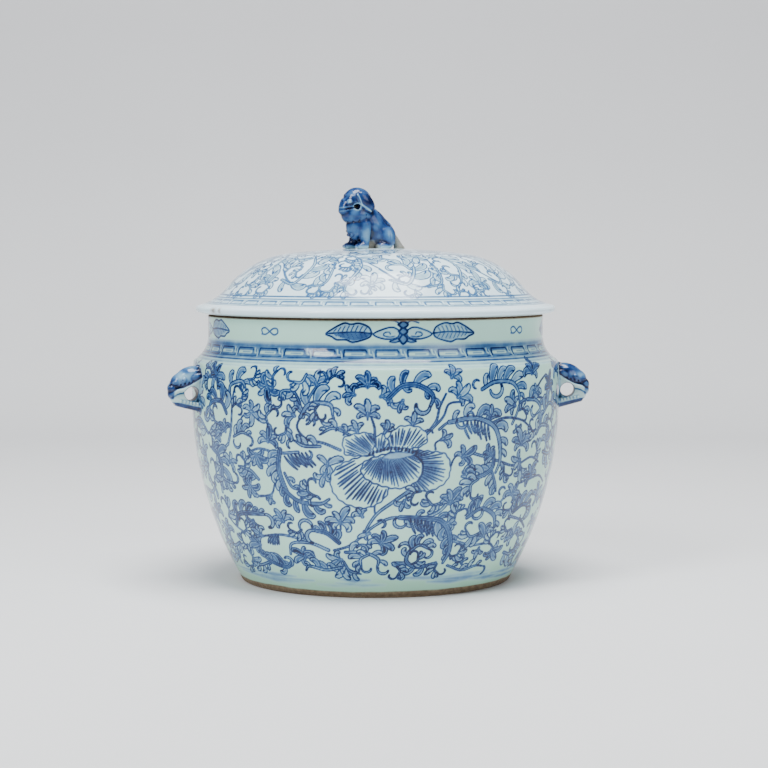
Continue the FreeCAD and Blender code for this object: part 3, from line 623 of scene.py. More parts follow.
    # middle row
    s((-5, 104), 110, 3, 6, 90)
    s((3, 104), 60, 4, 6.5, 90, stem=3)
    f([(-7, 102), (-12, 106), (-16, 102)], -1, 3, 5, 2.0, 0)
    h((-9, 102), 60, 1, 5)
    f([(-16, 95), (-21, 95), (-24, 98)], -1, 3, 6, 2.2, 0.9)
    fi([(-28, 88), (-24, 90), (-20, 91)], -1, 7, 9, 70)
    h((-21, 88), 320, 1, 5)
    s((-14, 84), 80, 4, 8, 320)
    s((-15, 78), 250, 3, 7, 120)
    f([(-29, 92), (-30, 82), (-29, 72), (-27, 64)], -1, 8, 8, 3.4, 0, wash=0.5)
    f([(-28, 78), (-26, 70), (-23, 68)], 1, 2, 4, 2.0, 0.9)
    f([(-29, 68), (-24, 61), (-17, 60), (-14, 63)], -1, 6, 7.5, 2.8, 0, wash=0.5)
    h((-17, 63), 130, 1, 7, 2.4)
    s((-33, 97), 80, 5, 7.5, 200, wash=0.5)
    s((-38, 88), 270, 6, 8, 220, wash=0.55)
    f([(-38, 73), (-41, 78), (-46, 80)], 1, 4, 6.5, 2.4, 0)
    s((-42, 68), 220, 6, 8, 280, wash=0.55)
    s((-34, 63), 250, 3, 6, 70)
    f([(-60, 89), (-56, 84), (-55, 76), (-58, 66)], 1, 7, 8, 3.0, 0, wash=0.5, inner=1)
    s((-57, 96), 60, 4, 7, 140, wash=0.5)
    s((-50, 82), 40, 4, 7, 200)
    f([(-57, 72), (-52, 69), (-49, 69)], -1, 3, 6, 2.2, 0.8)
    f([(-62, 66), (-67, 60), (-74, 62)], 1, 5, 8, 2.6, -0.9)
    s((-66, 84), 170, 5, 8, 220)
    s((-70, 74), 160, 4, 7, 180)
    fi([(26, 109), (31, 109), (36, 107)], -1, 8, 9, 80)
    f([(22, 109), (30, 111), (37, 106), (40, 96), (41, 84), (40, 77)], 1, 10, 8, 3.2, 0)
    h((28, 109), 260, -1, 7, 2.2)
    s((36, 111), 80, 3, 7, 120, wash=0.65)
    h((30, 112), 90, 1, 4)
    s((47, 104), 300, 3, 6, 120)
    f([(38, 90), (38, 80), (33, 75), (27, 76)], -1, 7, 8, 3.0, 0, wash=0.5)
    h((28, 77), 110, -1, 7, 2.4)
    s((37, 88), 140, 4, 7, 130, wash=0.6)
    f([(38, 78), (40, 70), (41, 65)], -1, 4, 6, 2.0, 0)
    s((50, 93), 90, 6, 9, 220)
    s((50, 83), 200, 4, 8, 180)
    s((51, 78), 280, 3, 7, 110)
    s((27, 88), 30, 5, 8, 260, wash=0.5)
    f([(58, 98), (61, 103), (66, 102)], 1, 4, 7, 2.4, 0.8)
    s((58, 72), 120, 5, 8, 210, wash=0.5)
    s((66, 92), 30, 5, 8, 250)
    f([(64, 86), (70, 84), (75, 88)], -1, 5, 7, 2.4, 0.9)
    # bottom row
    s((24, 60), 80, 6, 8.5, 190, wash=0.45)
    s((9, 62), 250, 3, 7, 110)
    f([(8, 52), (15, 51), (21, 49), (25, 41), (27, 30), (26, 22)], -1, 9, 8.5, 3.4, 0, wash=0.5, inner=1)
    fi([(11, 51), (15, 50), (19, 48)], -1, 7, 9, 75)
    h((10, 48), 240, -1, 7, 2.4)
    s((24, 47), 20, 4, 7, 120)
    f([(22, 22), (15, 20), (11, 24), (12, 31)], 1, 6, 7.5, 2.8, -0.9, wash=0.5)
    s((2, 36), 50, 6, 8, 250, wash=0.6)
    f([(-10, 30), (-4, 30), (1, 26), (1, 20)], 1, 5, 7, 2.4, -0.9)
    h((-6, 33), 60, -1, 6, 2.2)
    s((-12, 25), 190, 4, 7, 160)
    s((-11, 21), 260, 4, 8, 110)
    f([(-11, 24), (-9, 18), (-5, 16)], -1, 2, 5, 2.0, 0)
    s((-25, 26), 120, 6, 7.5, 280, wash=0.6)
    h((-22, 24), 60, 1, 7, 2.2)
    f([(-12, 20), (-18, 18), (-24, 20), (-26, 17)], -1, 4, 6, 2.4, 0)
    f([(-12, 36), (-16, 42), (-20, 43)], -1, 4, 7, 3.2, 0.9, wash=0.6)
    s((-11, 49), 90, 6, 8.5, 260, stem=5)
    s((-4, 53), 120, 3, 6, 100)
    h((1, 50), 30, -1, 5)
    s((-2, 42), 200, 3, 5, 90)
    h((-25, 44), 100, -1, 8, 2.6)
    s((-31, 48), 120, 5, 8, 190)
    f([(-54, 42), (-51, 49), (-44, 51), (-38, 51)], 1, 7, 7, 3.2, 0.9, wash=0.6)
    s((-44, 46), 240, 4, 7, 150, wash=0.7)
    s((-42, 37), 150, 5, 7, 160)
    fi([(-40, 33), (-37, 32), (-34, 33)], 1, 6, 6, 80)
    f([(-31, 22), (-34, 18), (-40, 20), (-45, 25)], -1, 6, 7.5, 2.8, 0, wash=0.6, inner=1)
    h((-32, 19), 30, 1, 6, 2.4)
    s((-44, 31), 190, 5, 8, 150, wash=0.5)
    f([(-42, 20), (-48, 17), (-53, 18)], 1, 4, 6, 2.2, 0)
    s((-62, 36), 140, 5, 8, 240)
    f([(-56, 30), (-62, 27), (-68, 32)], 1, 5, 7, 2.4, 0.9)
    s((-66, 48), 100, 5, 8, 220)
    s((-62, 20), 170, 4, 7, 180)
    f([(31, 50), (36, 55), (42, 50), (44, 42)], 1, 7, 8, 2.8, 0, wash=0.5)
    h((33, 51), 300, 1, 7, 2.4)
    h((33, 58), 120, -1, 5)
    s((49, 62), 60, 5, 8, 240, wash=0.55)
    h((45, 66), 130, 1, 5)
    s((40, 37), 120, 5, 8, 160, wash=0.55)
    s((46, 27), 310, 5, 8, 200, wash=0.6)
    s((39, 29), 260, 3, 6, 110)
    s((33, 21), 100, 3, 6, 120, wash=0.6)
    f([(27, 20), (34, 16), (40, 18), (44, 17)], 1, 4, 5, 2.0, 0.8)
    f([(52, 50), (57, 54), (62, 52)], 1, 5, 8, 2.8, 0.9, wash=0.55)
    s((56, 34), 140, 5, 8, 220)
    f([(54, 24), (60, 22), (66, 28)], -1, 5, 7, 2.4, 0.9)
    s((66, 58), 30, 5, 8, 250)
    s((70, 40), 60, 5, 8, 260)


def peony(c):
    """The big flower in the middle of a side."""
    petal = c.petal
    petal([(4, 95), (4, 101), (7, 107), (12, 107), (15, 103), (15, 97), (11, 94)], (6, 84), 0.1,
          1.9, 0.15, 0.86, deep=0.7, line=0.8, weight=1.0)
    petal([(11, 93), (16, 92), (21, 90), (23, 82), (22, 73), (17, 68), (12, 70), (10, 80)], (7, 86),
          0.42, 1.9, 0.1, 0.9, deep=0.5, line=0.9, weight=0.95)
    petal([(-1, 90), (0, 97), (-1, 103), (-5, 103), (-9, 100), (-9, 94), (-8, 90)], (4, 84), 0.85,
          1.5, 0.1, 0.86, deep=0.2, line=0.8, weight=0.9)
    petal([(0, 90), (-4, 89), (-10, 84), (-13, 77), (-13, 68), (-10, 61), (-4, 58), (1, 61), (4, 68),
           (3, 76)], (9.5, 103), 0.16, 2.2, 0.38, 0.88, deep=0.6, line=0.9, weight=1.35)
    petal([(1, 92), (0, 99), (2, 103), (4, 98), (4, 94)], (1, 86), 0.6, 1.3, 0.1, 0.9, line=0.8)
    petal([(0, 89), (-3, 86), (-4, 80), (-2, 75), (3, 71), (8, 70), (12, 73), (14, 78), (14, 85),
           (11, 90), (6, 92)], (3.5, 96), 0.4, 1.8, 0.16, 0.88, deep=0.75, line=0.95, weight=0.95)
    under = [(13, 74), (14.2, 79), (14, 86), (11.5, 90)]
    c.stroke(under[0], c.local(under[0], curve(under)), 1.3, 0.98)
    button = [(2, 88.6), (4.5, 91.2), (8, 91.8), (11.5, 90.4), (8, 88.2), (4.5, 87.6)]
    c.tint((6, 90), c.local((6, 90), button), 0.3, 0.7, 0.75)
    for n in range(14):
        z = 89.6 + 4.2 * math.sin(math.pi * (n + 1) / 15)
        c.stroke((-1.5 + 1.05 * n, z), [[0, 0], [0.3, 1.1]], [1.7, 1.3], 1.0)
    for n in range(6):
        place = (4.6 + 1.6 * n, 92.6 - 0.06 * (n - 2) ** 2)
        c.stroke(place, [[0, 0], [0.4, 2.6]], [1.2, 0.6], 0.8)


FRET_UNITS = 36


def fret_unit(c, x, w, low, high, tone):
    """One bent key of the fret: pale inside, dark above and below, with two white ticks after it."""
    mid = (low + high) / 2
    tall = (high - low) / 5

    def line(points):
        knots = [(x + w * share, level) for share, level in points]
        return knots[0], c.local(knots[0], knots)

    c.wipe(*line([(0.12, mid), (0.66, mid)]), 2.2 * abs(tall), 0.25)
    c.stroke(*line([(0.04, low + tall), (0.04, high), (0.72, high), (0.76, high - 1.5 * tall)]),
             0.9, tone)
    c.stroke(*line([(0.2, low), (0.74, low), (0.98, low + 0.5 * tall)]), 0.85, tone * 0.9)
    c.stroke(*line([(0.28, mid), (0.62, mid)]), 0.55, tone * 0.6)
    c.wipe(*line([(0.82, high), (0.84, mid), (0.9, mid - tall / 2)]), 0.7)
    c.wipe(*line([(0.93, high - tall), (0.96, mid), (0.99, low)]), 0.6)


def shoulder(c):
    """A brushed band and a key fret on the slope between body and neck."""
    z = c.levels
    band = np.clip((z - 145.4) / 0.8, 0, 1) * np.clip((156.8 - z) / 3.0, 0, 1)
    streaks = ripple(c.columns, c.rng, 50, 0.12)
    lengthwise = 0.05 * np.sin(z * 2.1)[:, None] + 0.04 * np.sin(z * 5.3 + 1)[:, None]
    tone = band[:, None] * (0.46 + streaks[None, :] + lengthwise)
    c.ink = np.maximum(c.ink, tone)
    w = 360 / FRET_UNITS
    for n in range(FRET_UNITS):
        fret_unit(c, n * w, w, 147.0, 151.8, 0.95)
    for level, tone, width in ((145.0, 0.75, 0.6), (143.2, 0.28, 0.9), (141.4, 0.2, 0.7)):
        line = np.exp(-((z - level) / width) ** 2)
        c.ink = np.maximum(c.ink, tone * line[:, None])


def neck_leaf(c, anchor, way, dark):
    """A pointed leaf beside a butterfly: hatched above its midrib and washed below it."""
    outline = np.array(
        [(18.5, -1.0), (20.5, 2.8), (26, 5.0), (31, 4.4), (34.5, 5.2), (38.5, 3.6), (42.4, 1.4),
         (46.2, -1.4), (42.6, -3.0), (39.5, -4.8), (34, -4.8), (30, -6.2), (24, -4.9), (20, -3.2)]
    ) * (way, 1)
    c.tint(anchor, outline, 0.24, 1.0, 1.0)
    lower = np.array([(19.5, -1.4), (30, -0.6), (40, -1.2), (36, -3.6), (29, -5.0), (22, -3.8)])
    c.tint(anchor, lower * (way, 1), dark, 0.5, dark)
    c.stroke(anchor, curve(np.array([(18.5, -1.0), (28, -0.2), (38, -0.6), (45, -1.2)]) * (way, 1)),
             [0.9] * 18 + [0.7], 1.0)
    for n in range(8):
        x = 21.5 + 2.6 * n
        top = 3.6 - 0.12 * (n - 3) ** 2
        c.stroke(anchor, curve(np.array([(x + 1.6, 0.2), (x + 0.8, top * 0.6), (x, top)]) * (way, 1)),
                 0.65, 0.85)
        c.stroke(anchor, np.array([(x + 1.6, -1.0), (x, -1.2 - top * 0.8)]) * (way, 1), 0.6, 0.85)


def neck(c):
    """Butterflies between leaves, with small loops between the groups."""
    for group in range(4):
        anchor = (9 + 90 * group, 162.6)
        neck_leaf(c, anchor, -1, 0.62)
        neck_leaf(c, anchor, 1, 0.32)
        for way in (-1, 1):
            for wing, wash in (
                ([(2, 0.6), (6, 2.6), (11, 1.8), (17.6, -1.2), (14, -3.6), (8, -4.4), (3, -3)], 0.2),
                ([(1.5, -3.6), (5, -4.6), (8, -5.8), (4.5, -6.2), (2, -5.4)], 0.4),
            ):
                c.tint(anchor, np.array(wing) * (way, 1), wash, 0.9, 0.98)
            swirl = [(5, -2.6), (8, -3.1), (11.5, -2.2), (11, -0.6), (8.4, -0.2), (7.6, -1.4)]
            c.stroke(anchor, curve(np.array(swirl) * (way, 1)), 0.75, 0.85)
            feeler = [(1.6, 4.6), (5, 6.4), (9.5, 6.2 - way)]
            c.stroke(anchor, curve(np.array(feeler) * (way, 1)), 0.75, 0.9)
        for low, high, half in ((2.2, 6.2, 2.9), (-1.9, 2.2, 2.6), (-7.2, -1.7, 2.5)):
            mid = (low + high) / 2
            ring = [(-half, mid), (0, high), (half, mid), (0, low)]
            c.tint(anchor, np.array(ring, float), 0.5, 1.3, 1.0)
        loops = curve([(-5.6, -1.2), (-6.2, 1.2), (-3.4, 2.2), (0, 0), (3.2, -2), (6, -0.8), (5.6, 1.6),
                       (2.8, 1.8), (0, 0), (-3, -1.7), (-6.2, -1.6)], 4)
        c.stroke((anchor[0] + 45, 162), loops, 1.0, 0.7)


def foot_wash(c):
    """Loose horizontal strokes just above the foot."""
    for _ in range(60):
        a = c.rng.uniform(0, 360)
        z = c.rng.uniform(7.5, 13.5)
        length = c.rng.uniform(14, 44)
        c.stroke((a, z), [[-length / 2, 0.3], [0, -0.2], [length / 2, 0.2]],
                 [0.8, c.rng.uniform(2.0, 4.2), 0.8], c.rng.uniform(0.22, 0.42), soft=2.6)


def paint_bowl(c):
    """Everything painted on the outside of the bowl."""
    for c.turn in (0, 180):
        panel(c)
        sides(c)
    for c.turn in (0, 180):
        peony(c)
    c.turn = 0
    c.fill_gaps(14.0, 141.0, 4.4)
    shoulder(c)
    neck(c)
    foot_wash(c)


def sides(c):
    """Leaves between the front and back of the bowl, round and under the handles."""
    f, s, h, st = c.frond, c.sprig, c.hook, c.stem
    st([(74, 66), (80, 74), (88, 78), (96, 74)], 1.8)
    st([(76, 90), (82, 96), (86, 104)], 1.6)
    st([(78, 40), (84, 48), (92, 50), (98, 44)], 1.8)
    f([(78, 92), (84, 98), (92, 96), (96, 89)], 1, 7, 8.5, 2.8, 0.9, wash=0.5, inner=1)
    f([(76, 58), (82, 52), (90, 55), (94, 62)], -1, 7, 8.5, 2.8, -0.9, wash=0.5)
    f([(80, 24), (86, 20), (94, 24), (98, 32)], -1, 7, 8, 2.6, -0.9, wash=0.55)
    f([(100, 100), (104, 108), (103, 117), (98, 120)], 1, 6, 8, 2.6, 0.9)
    f([(77, 108), (74, 116), (77, 124), (82, 126)], -1, 6, 8, 2.6, 0.9)
    s((86, 84), 90, 5, 8.5, 220, wash=0.5)
    s((97, 80), 40, 5, 8, 220)
    s((78, 78), 150, 4, 7.5, 180)
    s((86, 66), 250, 5, 8, 200)
    s((98, 60), 20, 5, 8, 220, wash=0.55)
    s((78, 34), 130, 5, 8, 220)
    s((90, 40), 70, 5, 8.5, 240, wash=0.55)
    s((84, 136), 80, 5, 8, 200, wash=0.5)
    s((94, 136), 110, 4, 8, 180)
    s((103, 134), 60, 5, 8, 220)
    s((75, 136), 120, 4, 8, 180)
    s((100, 24), 20, 4, 7.5, 200)
    h((84, 88), 200, 1, 6, 2.2)
    h((92, 70), 30, -1, 6, 2.2)
    h((84, 30), 80, 1, 6, 2.2)


def lid_scroll(c, low, high):
    """One run of scrolling leaves between two distances from the lid's middle."""
    a, b, m = -low, -high, -(low + high) / 2
    c.stem([(2, m - 3), (10, b + 6), (18, b + 5), (26, m), (33, a - 4), (40, a - 4), (46, m - 3)], 1.2)
    c.frond([(6, b + 8), (12, b + 6), (17, m), (13, a - 6)], -1, 7, 8.5, 2.2, -0.8)
    c.frond([(30, a - 4), (36, a - 7), (39, m), (34, b + 6)], 1, 7, 8.5, 2.2, 0.8)
    c.frond([(20, b + 4), (26, b + 7), (28, m + 3)], 1, 5, 7, 1.8, 0.8)
    c.sprig((22, a - 7), 250, 5, 9, 210)
    c.sprig((44, b + 6), 80, 5, 8.5, 210)


def paint_lid(c):
    """Scrolls on the dome, two lines round its foot and a key fret on the slope of the flange."""
    c.line = 0.75
    c.strength = 0.7
    c.flood = 0.7
    for c.turn in range(0, 360, 45):
        lid_scroll(c, 60, 98)
    for c.turn in range(0, 360, 90):
        lid_scroll(c, 26, 58)
    c.turn = 0
    c.fill_gaps(-98.6, -28.0, 4.0, 9.0)
    c.strength = 1.0
    r = -c.levels[:, None]
    for radius, width, tone in ((99.4, 0.5, 0.66), (101.4, 0.5, 0.56), (109.0, 0.6, 0.4)):
        c.ink = np.maximum(c.ink, tone * np.exp(-((r - radius) / width) ** 2))
    band = smooth(np.abs(r - 105.2) - 3.0, 1.2)
    streaks = ripple(c.columns, c.rng, 60, 0.08)
    c.ink = np.maximum(c.ink, band * (0.3 + streaks[None, :]))
    units = 44
    w = 360 / units
    for n in range(units):
        fret_unit(c, n * w, w, -107.4, -103.2, 0.62)


# ---- meshes -------------------------------------------------------------------------------------

def mesh_object(name, points, loops, sizes, marks, uv=None):
    """A mesh from points in mm, face corners and face sizes, with one number per point for each mark."""
    mesh = bpy.data.meshes.new(name)
    mesh.vertices.add(len(points))
    mesh.vertices.foreach_set("co", (points * MM).astype(np.float32).ravel())
    mesh.loops.add(len(loops))
    mesh.loops.foreach_set("vertex_index", loops.astype(np.int32))
    starts = np.r_[0, np.cumsum(sizes)[:-1]]
    mesh.polygons.add(len(sizes))
    mesh.polygons.foreach_set("loop_start", starts.astype(np.int32))
    mesh.polygons.foreach_set("use_smooth", np.ones(len(sizes), bool))
    mesh.update(calc_edges=True)
    for mark, values in marks.items():
        layer = mesh.attributes.new(mark, "FLOAT", "POINT")
        layer.data.foreach_set("value", values.astype(np.float32).ravel())
    if uv is not None:
        layer = mesh.uv_layers.new(name="OFBake")
        layer.data.foreach_set("uv", uv.astype(np.float32).ravel())
    mesh.validate()
    piece = bpy.data.objects.new(name, mesh)
    bpy.context.scene.collection.objects.link(piece)
    return piece


def turned(name, path, columns, marks, place_uv, wobble):
    """A closed turned piece. The outline starts and ends on the axis.

    place_uv(row, turn, face_row, face_turn) gives the UV of a corner, from where it and the
    middle of its face are: the row along the outline, and the turn from 0 to 1.
    """
    rings = path[1:-1]
    count = len(rings)
    angle = 2 * math.pi * np.arange(columns) / columns
    near_axis = np.minimum(rings[:, :1] / 40, 1)
    radius = rings[:, :1] + wobble(rings[:, 1:], angle[None, :]) * near_axis
    ring_points = np.stack(
        [radius * np.sin(angle), -radius * np.cos(angle), np.broadcast_to(rings[:, 1:], radius.shape)],
        axis=-1,
    ).reshape(-1, 3)
    first = count * columns
    points = np.vstack([ring_points, [[0, 0, path[0, 1]], [0, 0, path[-1, 1]]]])
    rows, cols = np.meshgrid(np.arange(count - 1), np.arange(columns), indexing="ij")
    after = (cols + 1) % columns
    quads = np.stack(
        [
            rows * columns + cols,
            rows * columns + after,
            (rows + 1) * columns + after,
            (rows + 1) * columns + cols,
        ],
        axis=-1,
    ).reshape(-1, 4)
    quad_rows = np.stack([rows, rows, rows + 1, rows + 1], axis=-1).reshape(-1)
    quad_cols = np.stack([cols, cols + 1, cols + 1, cols], axis=-1).reshape(-1)
    here = np.arange(columns)
    ahead = (here + 1) % columns
    last = (count - 1) * columns
    start_fan = np.column_stack([np.full(columns, first), ahead, here])
    end_fan = np.column_stack([np.full(columns, first + 1), last + here, last + ahead])
    fan_rows = np.r_[np.tile([-1, 0, 0], columns), np.tile([count, count - 1, count - 1], columns)]
    fan_cols = np.r_[
        np.column_stack([here + 0.5, here + 1, here]).ravel(),
        np.column_stack([here + 0.5, here, here + 1]).ravel(),
    ]
    loops = np.r_[quads.ravel(), start_fan.ravel(), end_fan.ravel()]
    sizes = np.r_[np.full(len(quads), 4), np.full(2 * columns, 3)]
    face_cols = np.r_[np.repeat(cols.ravel(), 4), np.repeat(here, 3), np.repeat(here, 3)] + 0.5
    face_rows = np.r_[np.repeat(rows.ravel(), 4), np.full(3 * columns, -1), np.full(3 * columns, count - 1)]
    uv = place_uv(
        np.r_[quad_rows, fan_rows] + 1.0, np.r_[quad_cols, fan_cols] / columns,
        face_rows + 1.5, face_cols / columns,
    )
    ends = {mark: values[[0, -1]].mean(axis=1) for mark, values in marks.items()}
    full = {mark: np.r_[values[1:-1].ravel(), ends[mark]] for mark, values in marks.items()}
    return mesh_object(name, points, loops, sizes, full, uv)


def skin(field, low, cell):
    """The surface where a sampled field is zero: a point in each crossed cell, joined by quads."""
    inside = field < 0
    shape = np.array(field.shape) - 1

    def view(data, o):
        return data[tuple(slice(s, n + s) for s, n in zip(o, shape))]

    offsets = [(i, j, k) for i in (0, 1) for j in (0, 1) for k in (0, 1)]
    full = sum(view(inside, o).astype(np.int8) for o in offsets)
    crossed = (full > 0) & (full < 8)
    cells = np.argwhere(crossed)
    number = np.full(crossed.shape, -1)
    number[crossed] = np.arange(len(cells))
    total = np.zeros((len(cells), 3))
    hits = np.zeros(len(cells))
    for start in offsets:
        for axis in range(3):
            if start[axis]:
                continue
            end = tuple(1 if n == axis else start[n] for n in range(3))
            va = view(field, start)[crossed]
            vb = view(field, end)[crossed]
            crosses = (va < 0) != (vb < 0)
            share = va[crosses] / (va[crosses] - vb[crosses])
            spot = np.tile(np.array(start, float), (crosses.sum(), 1))
            spot[:, axis] += share
            total[crosses] += spot
            hits[crosses] += 1
    points = low + cell * (cells + total / hits[:, None])
    faces = []
    for axis in range(3):
        u, v = (axis + 1) % 3, (axis + 2) % 3
        a = np.moveaxis(inside, (axis, u, v), (0, 1, 2))
        grid = np.moveaxis(number, (axis, u, v), (0, 1, 2))
        edge = a[:-1, 1:-1, 1:-1] != a[1:, 1:-1, 1:-1]
        i, j, k = np.nonzero(edge)
        quad = np.column_stack([grid[i, j, k], grid[i, j + 1, k], grid[i, j + 1, k + 1], grid[i, j, k + 1]])
        starts_inside = a[i, j + 1, k + 1]
        quad[~starts_inside] = quad[~starts_inside][:, ::-1]
        faces.append(quad)
    return points, np.vstack(faces)


# ---- modelled clay ------------------------------------------------------------------------------

class Clay:
    """A block of space sampled on a grid, in which solids are distances to their surfaces."""

    def __init__(self, low, high, cell):
        axes = [np.arange(a, b + cell, cell, dtype=np.float32) for a, b in zip(low, high)]
        self.low = np.array([axis[0] for axis in axes], float)
        self.cell = cell
        self.x, self.y, self.z = np.meshgrid(*axes, indexing="ij", sparse=True)

    def ball(self, centre, radii, tilt=0.0):
        """An ellipsoid. A tilt turns its front (-x) up, in degrees."""
        dx, dy, dz = self.x - centre[0], self.y - centre[1], self.z - centre[2]
        c, s = math.cos(math.radians(tilt)), math.sin(math.radians(tilt))
        u, w = dx * c - dz * s, dx * s + dz * c
        a, b, h = radii if np.ndim(radii) else (radii,) * 3
        near = np.sqrt((u / a) ** 2 + (dy / b) ** 2 + (w / h) ** 2 + 1e-6)
        steep = np.sqrt((u / a**2) ** 2 + (dy / b**2) ** 2 + (w / h**2) ** 2 + 1e-8)
        return near * (near - 1) / steep

    def rod(self, a, b, r, r_end=None):
        """A round bar between two points, with a radius at each."""
        r_end = r if r_end is None else r_end
        d = np.subtract(b, a)
        px, py, pz = self.x - a[0], self.y - a[1], self.z - a[2]
        t = np.clip((px * d[0] + py * d[1] + pz * d[2]) / float(d @ d), 0, 1)
        gap = np.sqrt((px - t * d[0]) ** 2 + (py - t * d[1]) ** 2 + (pz - t * d[2]) ** 2)
        return gap - r - t * (r_end - r)

    def pair(self, shape, centre, *rest):
        """The same solid on both sides of the middle plane."""
        x, y, z = centre
        return np.minimum(shape((x, y, z), *rest), shape((x, -y, z), *rest))

    def rods(self, a, b, *radii):
        """The same bar on both sides of the middle plane."""
        flip = [(x, -y, z) for x, y, z in (a, b)]
        return np.minimum(self.rod(a, b, *radii), self.rod(*flip, *radii))

    def read(self, field, points):
        """The field between its samples, at these points."""
        at = (points - self.low) / self.cell
        cell = np.clip(np.floor(at).astype(int), 0, np.array(field.shape) - 2)
        t = at - cell
        total = np.zeros(len(points))
        for i in (0, 1):
            for j in (0, 1):
                for k in (0, 1):
                    share = (
                        (t[:, 0] if i else 1 - t[:, 0])
                        * (t[:, 1] if j else 1 - t[:, 1])
                        * (t[:, 2] if k else 1 - t[:, 2])
                    )
                    total += share * field[cell[:, 0] + i, cell[:, 1] + j, cell[:, 2] + k]
        return total

    def slopes(self, field, points):
        """Outward directions at these points."""
        step = np.eye(3) * self.cell
        slope = np.column_stack(
            [self.read(field, points + d) - self.read(field, points - d) for d in step]
        )
        return slope / np.maximum(np.linalg.norm(slope, axis=1, keepdims=True), 1e-9)

    def hollowness(self, field, points, reach):
        """How sunk the surface is: above 0 in creases and below 0 on ridges."""
        return 1 - self.read(field, points + self.slopes(field, points) * reach) / reach


def weld(a, b, ease):
    """Two solids joined with an eased crease."""
    h = np.clip(0.5 + 0.5 * (b - a) / ease, 0, 1)
    return b + (a - b) * h - ease * h * (1 - h)


def carve(a, b, ease):
    """One solid less another, with an eased edge."""
    return -weld(-a, b, ease)


def turned_by(x, y, z, turn):
    """Points turned about the bowl's axis, in radians."""
    c, s = math.cos(turn), math.sin(turn)
    return np.column_stack([x * c - y * s, x * s + y * c, z])


def modelled(name, clay, field, place, marks):
    """A piece from a field. place moves its points, and marks gives each mark's numbers."""
    points, faces = skin(field, clay.low, clay.cell)
    return mesh_object(name, place(points), faces.ravel(), np.full(len(faces), 4), marks(points))


def paw(clay, body, toe_x, side, out, reach, heel):
    """A paw with four toes, added to the body."""
    body = weld(body, clay.ball((toe_x + heel, out * side, 1.5), (reach, 3.4, 2.5)), 1.2)
    for toe in range(4):
        across = (toe - 1.5) * 1.55
        tip = (toe_x + 0.22 * across**2, out * side + across, 1.25)
        body = weld(body, clay.ball(tip, (1.9, 0.85, 1.3)), 0.3)
    return body


def lion_body_field(clay):
    """The seated body, facing -x: trunk, bib, legs, paws, curls on the chest and a fluted back."""
    ball, rod = clay.ball, clay.rod
    body = ball((-2.0, 0, 14.4), (15.0, 7.8, 9.4), 50)
    body = weld(body, ball((-12.8, 0, 14.5), (7.6, 6.8, 9.8)), 3.0)
    body = weld(body, ball((5.0, 0, 9.0), (7.8, 7.0, 8.8)), 3.0)
    body = weld(body, ball((-4.0, 0, 3.0), (9.0, 3.6, 6.0)), 1.0)
    mane = ball((-12.2, 0, 21.2), (11.6, 8.3, 7.4))
    scallops = 16.0 + 0.6 * np.abs(np.sin(clay.y * 0.95)) * np.ones_like(clay.x)
    body = weld(body, carve(mane, clay.z - scallops, 0.9), 0.5)
    for n in range(9):
        a = math.radians(-96 + 24 * n)
        top = (-11.4 - 10.6 * math.cos(a), 7.6 * math.sin(a), 21.4)
        tip = (-11.4 - 9.9 * math.cos(a), 7.6 * math.sin(a) + 0.8, 16.8)
        body = carve(body, rod(top, tip, 0.4), 0.5)
    for side, ahead in ((-1, -1.8), (1, 1.4)):
        shoulder = (-10.4 - ahead * 0.4, 5.2 * side, 14.5)
        body = weld(body, rod(shoulder, (-12.0 - ahead, 5.8 * side, 2.4), 3.9, 2.8), 1.4)
        body = weld(body, ball((6.2, 5.0 * side, 7.2), (5.6, 4.4, 7.6)), 0.9)
        body = paw(clay, body, -17.2 - ahead, side, 6.0, 4.2, 3.2)
        body = paw(clay, body, -1.6, side, 6.2, 4.8, 4.0)
        for fold in (0.3, 1.0, 1.7):
            top = (6.2 + 4.2 * math.cos(fold), 9.4 * side, 8.1 + 5.4 * math.sin(fold))
            foot = (6.8 + 2.2 * math.cos(fold), 10.0 * side, 2.4 + 2.4 * math.sin(fold))
            body = carve(body, rod(top, foot, 0.5), 0.5)
    for row in range(3):
        for column in (-1, 0, 1):
            curl = (-18.4 + 0.5 * abs(column), column * 2.6 + (row % 2) * 1.2, 8.6 + 2.4 * row)
            body = weld(body, ball(curl, 1.2), 0.6)
            body = carve(body, ball((curl[0] - 1.1, curl[1], curl[2]), 0.4), 0.2)
    for flute in range(-3, 4):
        drop = abs(flute)
        groove = rod((0.5, flute * 2.1, 25.2 - drop), (12.8, flute * 1.9, 9.5 - drop), 0.55)
        body = carve(body, groove, 0.8)
    for side in (-1, 1):
        body = carve(body, ball((-4.6, 8.2 * side, 1.6), (3.6, 4.4, 4.4)), 1.0)
    return body


